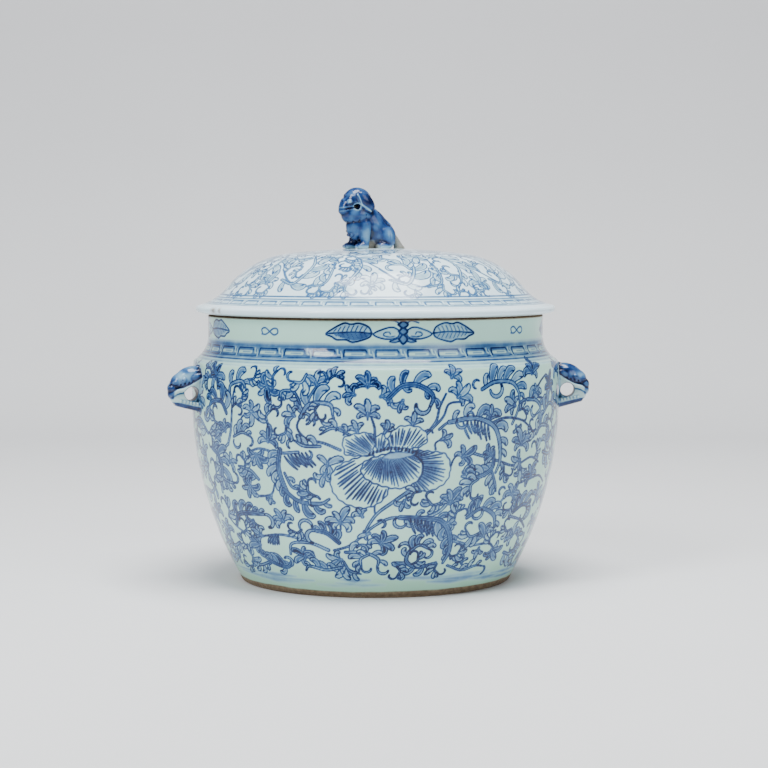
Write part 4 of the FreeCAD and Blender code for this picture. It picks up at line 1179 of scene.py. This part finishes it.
def lion_head_field(clay):
    """The head: a full brow, a blunt muzzle with a closed mouth, and cheeks pierced side to side."""
    ball, rod, pair, rods = clay.ball, clay.rod, clay.pair, clay.rods
    head = ball((-12.8, 0, 30.4), (9.4, 7.8, 8.4), 8)
    head = weld(head, ball((-19.0, 0, 27.8), (6.0, 5.6, 4.6)), 1.6)
    head = weld(head, ball((-18.8, 0, 23.0), (7.0, 5.4, 3.3), 6), 0.9)
    head = weld(head, ball((-22.3, 0, 25.4), (3.3, 4.6, 4.0)), 0.8)
    head = weld(head, pair(ball, (-13.0, 5.2, 25.4), (4.8, 2.7, 4.2)), 1.2)
    head = weld(head, rods((-20.4, 1.3, 33.4), (-16.4, 5.8, 33.2), 1.3, 1.5), 0.8)
    mouth = ball((-19.2, 0, 25.5), (5.2, 9.0, 0.55), -9)
    head = carve(head, np.maximum(mouth, -head - 1.2), 0.35)
    head = weld(head, rods((-22.4, 0.8, 30.2), (-21.4, 2.6, 29.6), 1.5, 1.2), 0.8)
    head = carve(head, pair(ball, (-24.0, 1.5, 29.7), 0.6), 0.25)
    head = weld(head, pair(ball, (-20.2, 4.4, 29.4), 2.0), 0.3)
    head = carve(head, pair(ball, (-21.6, 5.7, 29.8), 0.5), 0.2)
    for wisp in range(3):
        whisker = rods((-21.6 + 1.6 * wisp, 5.4, 28.2 - 0.4 * wisp), (-16.5, 6.6, 28.6 - 1.4 * wisp), 0.3)
        head = carve(head, whisker, 0.3)
    for lock in range(7):
        y = (lock - 3) * 2.1
        top = (-15.5, y * 0.8, 38.4 - 0.10 * y * y)
        head = carve(head, rod(top, (-3.0, y, 34.2 - 0.14 * y * y), 0.45), 0.6)
    return head


def lion_fields(clay):
    """The lion's solids, each by its own name, in the lion's frame: it faces -x on the crown."""
    bore = clay.rod((MOUTH_X, -12, MOUTH_Z), (MOUTH_X, 12, MOUTH_Z), MOUTH_R)
    ears = {}
    for name, side in (("lion_left_ear", -1), ("lion_right_ear", 1)):
        flap = clay.ball((-10.4, 7.2 * side, 29.6), (4.6, 2.9, 8.0), -44)
        rim = list(zip(EAR_X, (7.4 * side, 8.9 * side, 8.6 * side), EAR_Z))
        for start, end in zip(rim, rim[1:]):
            flap = weld(flap, clay.rod(start, end, 0.45), 0.4)
        ears[name] = flap
    tail = clay.rod((17.0, 0, 0.2), (11.0, 0, 11.4), 2.9, 1.4)
    tail = weld(tail, clay.ball((17.0, 0, 0.0), (3.4, 3.4, 1.4)), 1.5)
    solids = {"lion_body": lion_body_field(clay), "lion_head": lion_head_field(clay)}
    solids = {name: carve(field, bore, 0.4) for name, field in solids.items()}
    return {**solids, **ears, "lion_tail": tail}


def make_lion():
    """The five pieces of the lion, cut from one modelled figure so that their seams close."""
    clay = Clay((-28.5, -12.5, -1.6), (22.5, 12.5, 40.0), 0.3)
    fields = lion_fields(clay)
    whole = fields["lion_body"]
    for name, ease in LION_SEAMS.items():
        whole = weld(whole, fields[name], ease)
    turn = math.radians(LION_TURN)
    rng = np.random.default_rng(5)
    waves = rng.normal(size=(14, 3)) * 0.55
    phases = rng.uniform(0, 6.28, 14)

    def place(points):
        x, y, z = points.T
        return turned_by(x, y, z + CROWN_Z, turn)

    def marks(points):
        x, y, z = points.T
        drift = np.cos(points @ waves.T + phases).mean(axis=1) * 2
        sunk = clay.hollowness(whole, points, 1.1)
        broad = clay.hollowness(whole, points, 3.0)
        # cobalt darker in creases and hollows and paler on ridges: painted shade in the hollows and a
        # painted highlight on the ridges, over cobalt that lies thicker in the hollows
        ink = 0.70 + 0.19 * drift + 1.15 * np.clip(sunk, -0.22, 0.55) + 0.35 * np.clip(broad, -0.5, 0.5)
        corner = np.hypot(x - MOUTH_X, z - MOUTH_Z)
        beside = np.abs(y) > 3.6
        pale = np.exp(-(np.clip(corner - 1.9, 0, 9) ** 2)) * beside
        mouth = z - 25.3 - 0.16 * (x + 21.0)
        lip = np.exp(-(((mouth - 1.1) / 0.3) ** 2)) + 0.7 * np.exp(-(((mouth + 1.1) / 0.3) ** 2))
        lip = lip * (1 - fade(x, -15.5, -13.5)) * (x > -26)
        off_eye = np.sqrt((x + 21.0) ** 2 + (np.abs(y) - 5.8) ** 2 + (z - 29.6) ** 2)
        # the eyeball is left pale: the white of the eye, with a painted highlight on it
        eye = np.exp(-((off_eye / 1.5) ** 2))
        socket = np.exp(-(((off_eye - 2.9) / 0.8) ** 2))
        feet = 1 - fade(z, 0.3, 3.2)
        # painted highlights: paler cobalt on the near foreleg, the side that faces the lamps, and on the
        # round of each haunch
        leg_highlight = 0.5 * np.exp(-(((x + 10.0) / 3.2) ** 2) - ((z - 7.5) / 5.5) ** 2) * (y < 0)
        thigh_highlight = 0.35 * np.exp(-(((x - 5.5) / 2.4) ** 2) - ((z - 9.5) / 4.0) ** 2)
        flap = np.abs(np.abs(y) - 8.4) < 2.2
        ear = flap * np.exp(-(((x + 8.5) / 5.0) ** 2) - ((z - 29.0) / 5.5) ** 2)
        edge = np.interp(x, EAR_X, EAR_Z)
        rim = flap * np.exp(-(((z - edge) / 0.8) ** 2)) * (x > -16.6) * (x < -6.8)
        ink = (ink + 0.25 * ear + 0.25 * socket) * (1 - 0.8 * pale) * (1 - 0.5 * lip) * (1 - 0.9 * eye)
        ink = ink * (1 - leg_highlight) * (1 - thigh_highlight) * (1 - 0.75 * rim) * (1 - 0.8 * feet)
        # the mouth's slit is inked dark, a drawn line with painted shade in its crease, and the bore
        # through the mouth's corners is inked dark as painted shade in the hole
        slit = np.exp(-((mouth / 0.45) ** 2)) * (x < -15.5) * (np.abs(y) > 1.5)
        ink = np.maximum(ink, 0.95 * np.maximum(slit, corner < 1.85))
        between = 1 - fade(np.hypot(x + 4.6, (z - 1.0) * 0.8), 2.6, 4.4)
        rear = fade(x, 12.3, 13.8) * (1 - fade(z, 8.0, 11.0))
        bare = np.clip(0.85 * between + 0.75 * rear, 0, 1)
        return {"ink": np.clip(ink * (1 - bare), 0, 1), "bare": bare, "pool_and_shade": 0.35 + 0.4 * feet}

    material = glaze("lion_glaze", srgb(190, 216, 226), srgb(150, 180, 184), 0.07)
    for name, field in fields.items():
        others = np.minimum.reduce([f for n, f in fields.items() if n != name])
        own = np.maximum(whole, field - others - 0.6)
        own = np.maximum(own, -0.9 - clay.z * np.ones_like(own))
        piece = modelled(f"glazed_{name}", clay, own, place, marks)
        piece.data.materials.append(material)
        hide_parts(name)
        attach(piece, "lid")


def handle_field(clay):
    """An animal's head that juts from the wall: x out from the belly, z up from its middle."""
    ball, rod, pair, rods = clay.ball, clay.rod, clay.pair, clay.rods
    head = ball((2.5, 0, 5.0), (12.4, 7.3, 9.3))
    head = weld(head, ball((11.0, 0, 4.4), (6.5, 5.7, 5.4)), 1.2)
    head = weld(head, ball((16.2, 0, 0.4), (3.4, 4.4, 3.9)), 1.0)
    head = weld(head, ball((17.5, 0, -3.0), (1.9, 3.2, 2.8)), 0.8)
    head = weld(head, ball((8.6, 0, -5.4), (9.0, 5.3, 6.2)), 1.0)
    head = weld(head, rods((-2.0, 3.0, -11.9), (13.2, 2.1, -8.6), 3.0, 2.3), 0.7)
    head = weld(head, rods((-1.0, 1.7, 13.7), (11.0, 1.4, 9.4), 1.3, 1.0), 0.5)
    head = weld(head, rods((-1.0, 4.9, 11.4), (8.6, 3.9, 9.0), 1.3, 1.1), 0.5)
    spine = list(zip(LIP_X, (6.4, 6.3, 6.0, 5.6, 4.4, 2.6), LIP_Z))
    for start, end in zip(spine, spine[1:]):
        head = weld(head, rods(start, end, 1.35), 0.4)
    head = weld(head, pair(ball, (10.2, 4.9, 5.6), 1.9), 0.35)
    head = carve(head, pair(ball, (11.4, 6.6, 5.8), 0.6), 0.3)
    head = weld(head, pair(ball, (1.0, 6.9, 7.6), (4.6, 1.7, 2.4), 14), 0.5)
    head = weld(head, pair(ball, (14.8, 3.4, 4.0), (2.4, 1.8, 1.8)), 0.4)
    head = carve(head, pair(ball, (18.3, 2.2, 2.4), (1.3, 0.9, 0.8), 30), 0.3)
    head = carve(head, rods((-1.0, 6.6, -9.6), (12.5, 5.2, -6.6), 0.5), 0.5)
    for n in range(6):
        x = 1.5 + 2.1 * n
        head = weld(head, pair(ball, (x, 5.0 - 0.12 * n, -9.6 + 0.42 * n), 1.1), 0.3)
    for n in range(4):
        top = (3.0 + 2.4 * n, 5.5 - 0.5 * n, 8.6 - 0.5 * n)
        foot = (5.2 + 2.4 * n, 7.4 - 0.7 * n, 3.6 - 0.4 * n)
        head = carve(head, rods(top, foot, 0.3), 0.5)
    return carve(head, rod((HOLE_X, -14, -HOLE_DROP), (HOLE_X, 14, -HOLE_DROP), HOLE_R), 0.6)


def handle_marks(clay, field, rng):
    """The painting of an animal's head: cobalt above a pale lip, a pale mouth and a dark jaw, with painted
    shade in its creases and its hole and painted highlights on its ridges and upper snout.
    """
    waves = rng.normal(size=(12, 3)) * (0.35, 0.35, 0.9)
    phases = rng.uniform(0, 6.28, 12)

    def marks(points):
        x, y, z = points.T
        lip = z - np.interp(x, LIP_X, LIP_Z)
        jaw = z - np.interp(x, [0.0, 14.0], [-11.4, -8.2])
        drift = np.cos(points @ waves.T + phases).mean(axis=1) * 2.2
        sunk = clay.hollowness(field, points, 1.1)
        # cobalt darker in creases and paler on ridges: painted shade in the hollows and a painted highlight
        # on the ridges, over cobalt that lies thicker there
        coat = 0.6 + 0.22 * drift + 1.3 * np.clip(sunk, -0.2, 0.45)
        coat = coat + 0.35 * np.exp(-(((lip - 2.0) / 0.6) ** 2))
        # painted highlight: paler cobalt on the upper snout
        crown = np.exp(-(((x - 12.5) / 3.0) ** 2) - ((z - 7.5) / 2.6) ** 2)
        coat = coat * (1 - 0.5 * crown) + 0.25 * (1 - fade(x, 0.5, 3.0))
        nose = fade(x, 15.6, 16.8) * fade(z, -6.8, -5.6)
        above = np.maximum(fade(lip, 0.9, 1.5), nose)
        below = 1 - fade(jaw, -0.5, 0.4)
        ink = above * coat + below * (0.9 + 0.1 * drift)
        # the pale mouth darkens in its hollows as painted shade
        ink = ink + (1 - above) * (1 - below) * (0.05 + 0.7 * np.clip(sunk, 0, 0.6))
        # painted shade: the inside of the hole is inked dark and half bare, for its shadowed, unglazed
        # inner wall
        reach = np.hypot(x - HOLE_X, z + HOLE_DROP)
        within = 1 - fade(reach, HOLE_R + 0.05, HOLE_R + 0.5)
        root = 1 - fade(x, -0.9, -0.1)
        ink = ink * (1 - within) * (1 - root) + 0.9 * within
        # deeper glaze in the hollows: glaze pooled there, and painted shade as well
        pool_and_shade = 0.25 + 0.5 * np.clip(sunk, 0, 1)
        return {"ink": np.clip(ink, 0, 1), "bare": within * 0.5, "pool_and_shade": pool_and_shade}

    return marks


def make_handles():
    """Both animal heads, each eased into the wall and set round the shoulder."""
    material = glaze("handle_glaze", srgb(186, 214, 214), srgb(150, 182, 172), 0.06)
    for seed, (name, angle) in enumerate(HANDLES.items()):
        clay = Clay((-4.0, -11.0, -18.5), (21.5, 11.0, 18.5), 0.25)
        head = handle_field(clay)
        level = clay.z + HANDLE_Z
        wall_curve = tangent_radius(BELLY_R - FOOT_TOP_R, BELLY_Z - FOOT_Z)
        wall = BELLY_R - np.maximum(0, BELLY_Z - level) ** 2 / (2 * wall_curve)
        wall = wall - np.maximum(0, level - BELLY_Z) ** 2 * 0.0019
        off_wall = np.hypot(clay.x + BELLY_R, clay.y) - wall
        field = weld(head, off_wall + 0.12, 1.2)
        field = np.maximum(field, head - 1.0)
        field = np.maximum(field, -off_wall - 2.0)
        turn = math.radians(angle - 90)

        def place(points, turn=turn):
            x, y, z = points.T
            return turned_by(x + BELLY_R, y, z + HANDLE_Z, turn)

        piece = modelled(f"glazed_{name}", clay, field, place,
                         handle_marks(clay, field, np.random.default_rng(40 + seed)))
        piece.data.materials.append(material)
        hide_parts(name)
        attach(piece, "bowl")


# ---- materials ----------------------------------------------------------------------------------

def srgb(r, g, b):
    """A colour given as it looks on screen, 0 to 255, as Blender's linear values."""
    flat = [c / 255 for c in (r, g, b)]
    linear = [c / 12.92 if c <= 0.04045 else ((c + 0.055) / 1.055) ** 2.4 for c in flat]
    return (*linear, 1.0)


class Nodes:
    """A material's node tree, with short calls for the nodes used here."""

    def __init__(self, name):
        self.material = bpy.data.materials.new(name)
        self.material.use_nodes = True
        self.tree = self.material.node_tree
        self.surface = self.tree.nodes["Principled BSDF"]
        self.place = self.add("ShaderNodeTexCoord").outputs["Object"]

    def add(self, kind, **settings):
        node = self.tree.nodes.new(kind)
        for key, value in settings.items():
            setattr(node, key, value)
        return node

    def put(self, socket, value):
        if isinstance(value, bpy.types.NodeSocket):
            self.tree.links.new(value, socket)
        else:
            socket.default_value = value

    def mark(self, name):
        return self.add("ShaderNodeAttribute", attribute_name=name).outputs["Fac"]

    def math(self, operation, a, b=0.0, clamp=False):
        node = self.add("ShaderNodeMath", operation=operation, use_clamp=clamp)
        self.put(node.inputs[0], a)
        self.put(node.inputs[1], b)
        return node.outputs[0]

    def noise(self, scale, detail=3.0, rough=0.55, stretch=None):
        node = self.add("ShaderNodeTexNoise")
        place = self.place
        if stretch:
            mapping = self.add("ShaderNodeMapping")
            self.put(mapping.inputs["Vector"], place)
            mapping.inputs["Scale"].default_value = stretch
            place = mapping.outputs[0]
        self.put(node.inputs["Vector"], place)
        node.inputs["Scale"].default_value = scale
        node.inputs["Detail"].default_value = detail
        node.inputs["Roughness"].default_value = rough
        return node.outputs["Fac"]

    def ramp(self, value, *stops):
        node = self.add("ShaderNodeValToRGB")
        self.put(node.inputs["Fac"], value)
        steps = node.color_ramp.elements
        while len(steps) < len(stops):
            steps.new(0.5)
        for step, (position, color) in zip(steps, stops):
            step.position = position
            step.color = color
        return node.outputs["Color"]

    def mix(self, share, a, b):
        node = self.add("ShaderNodeMix", data_type="RGBA")
        self.put(node.inputs["Factor"], share)
        self.put(node.inputs[6], a)
        self.put(node.inputs[7], b)
        return node.outputs[2]

    def spread(self, value, low, high, to_low=0.0, to_high=1.0):
        node = self.add("ShaderNodeMapRange")
        for socket, amount in zip(node.inputs, (value, low, high, to_low, to_high)):
            self.put(socket, amount)
        return node.outputs[0]

    def bump(self, height, distance, strength=1.0, normal=None):
        node = self.add("ShaderNodeBump")
        self.put(node.inputs["Height"], height)
        node.inputs["Distance"].default_value = distance
        node.inputs["Strength"].default_value = strength
        if normal:
            self.put(node.inputs["Normal"], normal)
        return node.outputs[0]


COBALT = (
    (0.0, srgb(188, 214, 224)),
    (0.22, srgb(130, 170, 190)),
    (0.5, srgb(66, 108, 152)),
    (0.78, srgb(26, 54, 106)),
    (1.0, srgb(8, 20, 58)),
)


def glaze(name, pale, deep, gloss=0.1):
    """Feldspathic glaze over cobalt painting, bare clay where the potter wiped it off."""
    n = Nodes(name)
    ink = n.mark("ink")
    bare = n.mark("bare")
    pool_and_shade = n.mark("pool_and_shade")
    cloud = n.noise(9.0, 3.0)
    mottle = n.noise(160.0, 4.0, 0.6)
    # the ground turns to the deep colour in random clouds and by the deep-glaze mark, which carries both
    # pooled glaze and painted shade
    depth = n.math("ADD", n.spread(cloud, 0.35, 0.7, 0.0, 0.45), pool_and_shade, clamp=True)
    ground = n.mix(depth, pale, deep)
    heaped = n.spread(mottle, 0.3, 0.7, 0.84, 1.16)
    drift = n.spread(n.noise(28.0, 2.0), 0.3, 0.7, 0.88, 1.12)
    density = n.math("MULTIPLY", n.math("MULTIPLY", ink, heaped), drift, clamp=True)
    cobalt = n.ramp(density, *COBALT)
    cover = n.spread(density, 0.0, 0.3)
    painted = n.mix(cover, ground, cobalt)
    # iron specks and pinholes burnt through the glaze
    cells = n.add("ShaderNodeTexVoronoi")
    n.put(cells.inputs["Vector"], n.place)
    cells.inputs["Scale"].default_value = 85.0
    chance = n.add("ShaderNodeSeparateColor")
    n.put(chance.inputs[0], cells.outputs["Color"])
    near = n.math("LESS_THAN", cells.outputs["Distance"], 0.055)
    rare = n.math("GREATER_THAN", chance.outputs[0], 0.955)
    speck = n.math("MULTIPLY", n.math("MULTIPLY", near, rare), 0.85)
    specked = n.mix(speck, painted, srgb(74, 62, 48))
    grit = n.noise(420.0, 3.0, 0.7)
    turning = n.noise(30.0, 4.0, 0.7, stretch=(0.15, 0.15, 22.0))
    clay = n.ramp(
        n.math("ADD", n.math("MULTIPLY", grit, 0.45), n.math("MULTIPLY", turning, 0.6)),
        (0.30, srgb(54, 42, 30)),
        (0.5, srgb(108, 90, 68)),
        (0.72, srgb(150, 130, 104)),
    )
    n.put(n.surface.inputs["Base Color"], n.mix(bare, specked, clay))
    sheen = n.spread(n.noise(60.0, 3.0), 0.3, 0.7, gloss * 0.7, gloss * 1.5)
    n.put(n.surface.inputs["Roughness"], n.math("ADD", sheen, n.math("MULTIPLY", bare, 0.6)))
    ripple = n.bump(n.noise(140.0, 2.0), 0.00006, 1.0)
    rough = n.bump(n.math("MULTIPLY", n.math("ADD", grit, turning), bare), 0.0004, 1.0, ripple)
    n.put(n.surface.inputs["Normal"], rough)
    n.surface.inputs["IOR"].default_value = 1.42
    return n.material


def plaster(name, color, painted_shade_top):
    """The floor and backdrop, with painted shade that makes them a little darker higher up."""
    n = Nodes(name)
    tone = n.spread(n.noise(3.0, 4.0), 0.3, 0.7, 0.97, 1.0)
    dim = n.add("ShaderNodeMix", data_type="RGBA", blend_type="MULTIPLY")
    dim.inputs["Factor"].default_value = 1.0
    height = n.add("ShaderNodeSeparateXYZ")
    n.put(height.inputs[0], n.place)
    n.put(dim.inputs[6], n.mix(n.spread(height.outputs[2], 0.05, 0.5), color, painted_shade_top))
    grey = n.add("ShaderNodeCombineColor")
    for socket in grey.inputs:
        n.put(socket, tone)
    n.put(dim.inputs[7], grey.outputs[0])
    n.put(n.surface.inputs["Base Color"], dim.outputs[2])
    n.surface.inputs["Roughness"].default_value = 0.75
    return n.material


# ---- studio -------------------------------------------------------------------------------------

def area_light(name, place, aim, size, power):
    """A soft light in the shape of a window."""
    light = bpy.data.lights.new(name, "AREA")
    light.shape = "RECTANGLE"
    light.size, light.size_y = size
    light.energy = power
    lamp = bpy.data.objects.new(name, light)
    lamp.location = place
    lamp.rotation_euler = (Vector(aim) - Vector(place)).to_track_quat("-Z", "Y").to_euler()
    bpy.context.scene.collection.objects.link(lamp)
    return lamp


def studio():
    """A pale floor that sweeps up into the backdrop, soft lights and the camera."""
    front, back, bend, top, half = -2.2, 1.0, 0.35, 0.85, 2.6
    steps = [(front, 0.0), (back, 0.0)]
    steps += [
        (back + bend * math.sin(a), bend * (1 - math.cos(a)))
        for a in np.linspace(0, math.pi / 2, 17)[1:]
    ]
    steps += [(back + bend, top)]
    points = np.array([(x, y, z) for y, z in steps for x in (-half, half)]) / MM
    faces = np.array([(2 * i, 2 * i + 1, 2 * i + 3, 2 * i + 2) for i in range(len(steps) - 1)])
    sweep = mesh_object("backdrop", points, faces.ravel(), np.full(len(faces), 4), {})
    # the backdrop's second colour is painted shade on its upper part
    sweep.data.materials.append(plaster("backdrop_with_painted_shade", srgb(224, 226, 228), srgb(198, 199, 202)))

    area_light("window", (-1.3, -1.5, 1.6), (0, 0, 0.12), (0.6, 1.3), 46)
    area_light("top", (0.1, -0.2, 1.7), (0, 0, 0), (0.9, 0.9), 56)
    area_light("fill", (1.5, -1.3, 1.0), (0, 0, 0.12), (1.0, 1.2), 13)
    world = bpy.data.worlds.new("room")
    world.use_nodes = True
    background = world.node_tree.nodes["Background"]
    background.inputs["Color"].default_value = (0.95, 0.97, 1.0, 1.0)
    background.inputs["Strength"].default_value = 0.22
    bpy.context.scene.world = world

    lens = bpy.data.cameras.new("camera")
    lens.sensor_width = 36.0
    lens.lens = 97.5
    camera = bpy.data.objects.new("camera", lens)
    camera.location = (0.0055, -1.338, 0.211)
    camera.rotation_euler = (math.radians(90 - 3.69), 0, 0)
    bpy.context.scene.collection.objects.link(camera)
    bpy.context.scene.camera = camera


# ---- the object ---------------------------------------------------------------------------------

def fade(values, low, high):
    """0 below low, 1 above high, and smooth between."""
    t = np.clip((values - low) / (high - low), 0, 1)
    return t * t * (3 - 2 * t)


def ripple(columns, rng, waves, size):
    """A smooth random line round the piece."""
    angle = 2 * math.pi * np.arange(columns) / columns
    line = sum(
        rng.normal() * np.cos(k * angle + rng.uniform(0, 7)) / k**0.5 for k in range(1, waves)
    )
    return size * line / np.abs(line).max()


def hand_thrown(seed, size):
    """Slight ovality and finger rings, as a function of height and angle."""
    rng = np.random.default_rng(seed)
    phase = rng.uniform(0, 6.28, 4)

    def wobble(z, angle):
        oval = 0.6 * np.cos(2 * angle + phase[0]) + 0.25 * np.cos(3 * angle + phase[1])
        rings = 0.16 * np.sin(z / 5.3 + 0.35 * np.sin(angle + phase[2])) * np.sin(z / 17.0 + phase[3])
        return size * (oval + rings)

    return wobble


def make_bowl():
    """The bowl: painted outside, bare clay on the foot ring and the rim."""
    under, outside, inside = bowl_outlines()
    levels = outside[:, 1] + np.arange(len(outside)) * 1e-6
    canvas = Canvas(levels, outside[:, 0], BOWL_COLUMNS, 7)
    paint_bowl(canvas)
    path = np.vstack([under, outside[1:], inside[1:]])
    first = len(under) - 1
    last = first + len(outside)
    rng = np.random.default_rng(21)
    shape = (len(path), BOWL_COLUMNS)
    ink = np.zeros(shape)
    ink[first:last] = canvas.ink
    z = np.broadcast_to(path[:, 1:], shape)
    row = np.arange(len(path))[:, None]
    outer = (row >= first) & (row < last)
    edge = FOOT_Z + ripple(BOWL_COLUMNS, rng, 40, 0.5)[None, :]
    in_ring = row > np.searchsorted(under[:, 0], FOOT_R - FOOT_RING - 0.5)
    bare = (1 - fade(z, edge - 0.25, edge + 0.25)) * in_ring
    lip = fade(z, RIM_Z - 1.5, RIM_Z - 0.9) * (row > first)
    bare = np.maximum(bare, lip)
    # deeper glaze, pooled just above the foot and in a band at the foot of the neck
    pool_and_shade = np.where(outer, 0.75 * np.exp(-((z - edge - 2.0) / 3.5) ** 2), 0.1)
    pool_and_shade = pool_and_shade + np.where(outer, 0.35 * np.exp(-((z - NECK_Z + 6) / 4) ** 2), 0)
    # painted shade: the glaze darkens towards the bottom of the body
    pool_and_shade = pool_and_shade + np.where(outer, 0.6 * (1 - fade(z, 4.0, 42.0)), 0)

    def uv(rows, turn, face_rows, face_turn):
        height = np.clip((rows - first) / (last - 1 - first), 0, 1)
        within = np.where(face_rows > last - 1, 1.0, 0.0)
        below = np.where(face_rows < first, 1.0, 0.0)
        second = (face_turn > 0.5).astype(float)
        u = 0.01 + 0.98 * (turn - 0.5 * second) * 2
        v = 0.01 + 0.395 * height + 0.405 * second
        inner_v = 0.83 + 0.10 * (rows - last + 1) / (len(path) - last)
        under_v = 0.94 + 0.05 * rows / max(first, 1)
        whole_u = 0.01 + 0.98 * turn
        u = np.where(within + below > 0, whole_u, u)
        v = np.where(within > 0, inner_v, np.where(below > 0, under_v, v))
        return np.column_stack([u, v])

    piece = turned("porcelain_bowl", path, BOWL_COLUMNS, {"ink": ink, "bare": bare, "pool_and_shade": pool_and_shade},
                   uv, hand_thrown(3, 0.32))
    piece.data.materials.append(glaze("bowl_glaze", srgb(182, 226, 212), srgb(154, 202, 178)))
    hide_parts("bowl")
    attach(piece, "bowl")


def make_lid():
    """The lid: painted on top, bare clay on its seat and collar and where its edge is chipped."""
    dome, under = lid_outlines()
    levels = -dome[:, 0] + np.arange(len(dome)) * 1e-6
    canvas = Canvas(levels, dome[:, 0], LID_COLUMNS, 11)
    paint_lid(canvas)
    path = np.vstack([under[::-1], dome[1:]])
    first = len(under) - 1
    rng = np.random.default_rng(22)
    shape = (len(path), LID_COLUMNS)
    ink = np.zeros(shape)
    ink[first:] = canvas.ink
    r = np.broadcast_to(path[:, :1], shape)
    z = np.broadcast_to(path[:, 1:], shape)
    below = np.arange(len(path))[:, None] < first
    edge = ripple(LID_COLUMNS, rng, 40, 0.5)[None, :]
    seat = below * (1 - fade(z, SEAT_Z + 0.9, SEAT_Z + 1.5)) * fade(r, COLLAR_R - 8, COLLAR_R - 6)
    bare = seat * (1 - fade(r, NECK_R + 2.0 + edge, NECK_R + 3.0 + edge))
    angle = np.degrees(2 * math.pi * np.arange(LID_COLUMNS) / LID_COLUMNS)[None, :]
    tip = np.exp(-(((r - LID_R) / 1.1) ** 2))
    for place, wide in LID_CHIPS:
        bare = np.maximum(bare, 0.8 * tip * np.exp(-(((angle - place) / wide) ** 2)))
    pool_and_shade = 0.45 * np.exp(-((r - DOME_R - 4) / 7) ** 2) * ~below + 0.1 * below

    def uv(rows, turn, face_rows, _):
        angle = 2 * math.pi * turn
        out = (len(path) - 1 - rows) / (len(path) - 1 - first) * 0.36
        into = rows / first * 0.13
        outer = face_rows > first
        centre = np.where(outer, 0.37, 0.86)
        reach = np.where(outer, out, into)
        return np.column_stack([centre + reach * np.sin(angle), centre - reach * np.cos(angle)])

    piece = turned("porcelain_lid", path, LID_COLUMNS, {"ink": ink, "bare": bare, "pool_and_shade": pool_and_shade},
                   uv, hand_thrown(4, 0.3))
    piece.data.materials.append(glaze("lid_glaze", srgb(220, 244, 255), srgb(198, 226, 236)))
    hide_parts("lid")
    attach(piece, "lid")


make_bowl()
make_lid()
make_handles()
make_lion()
studio()
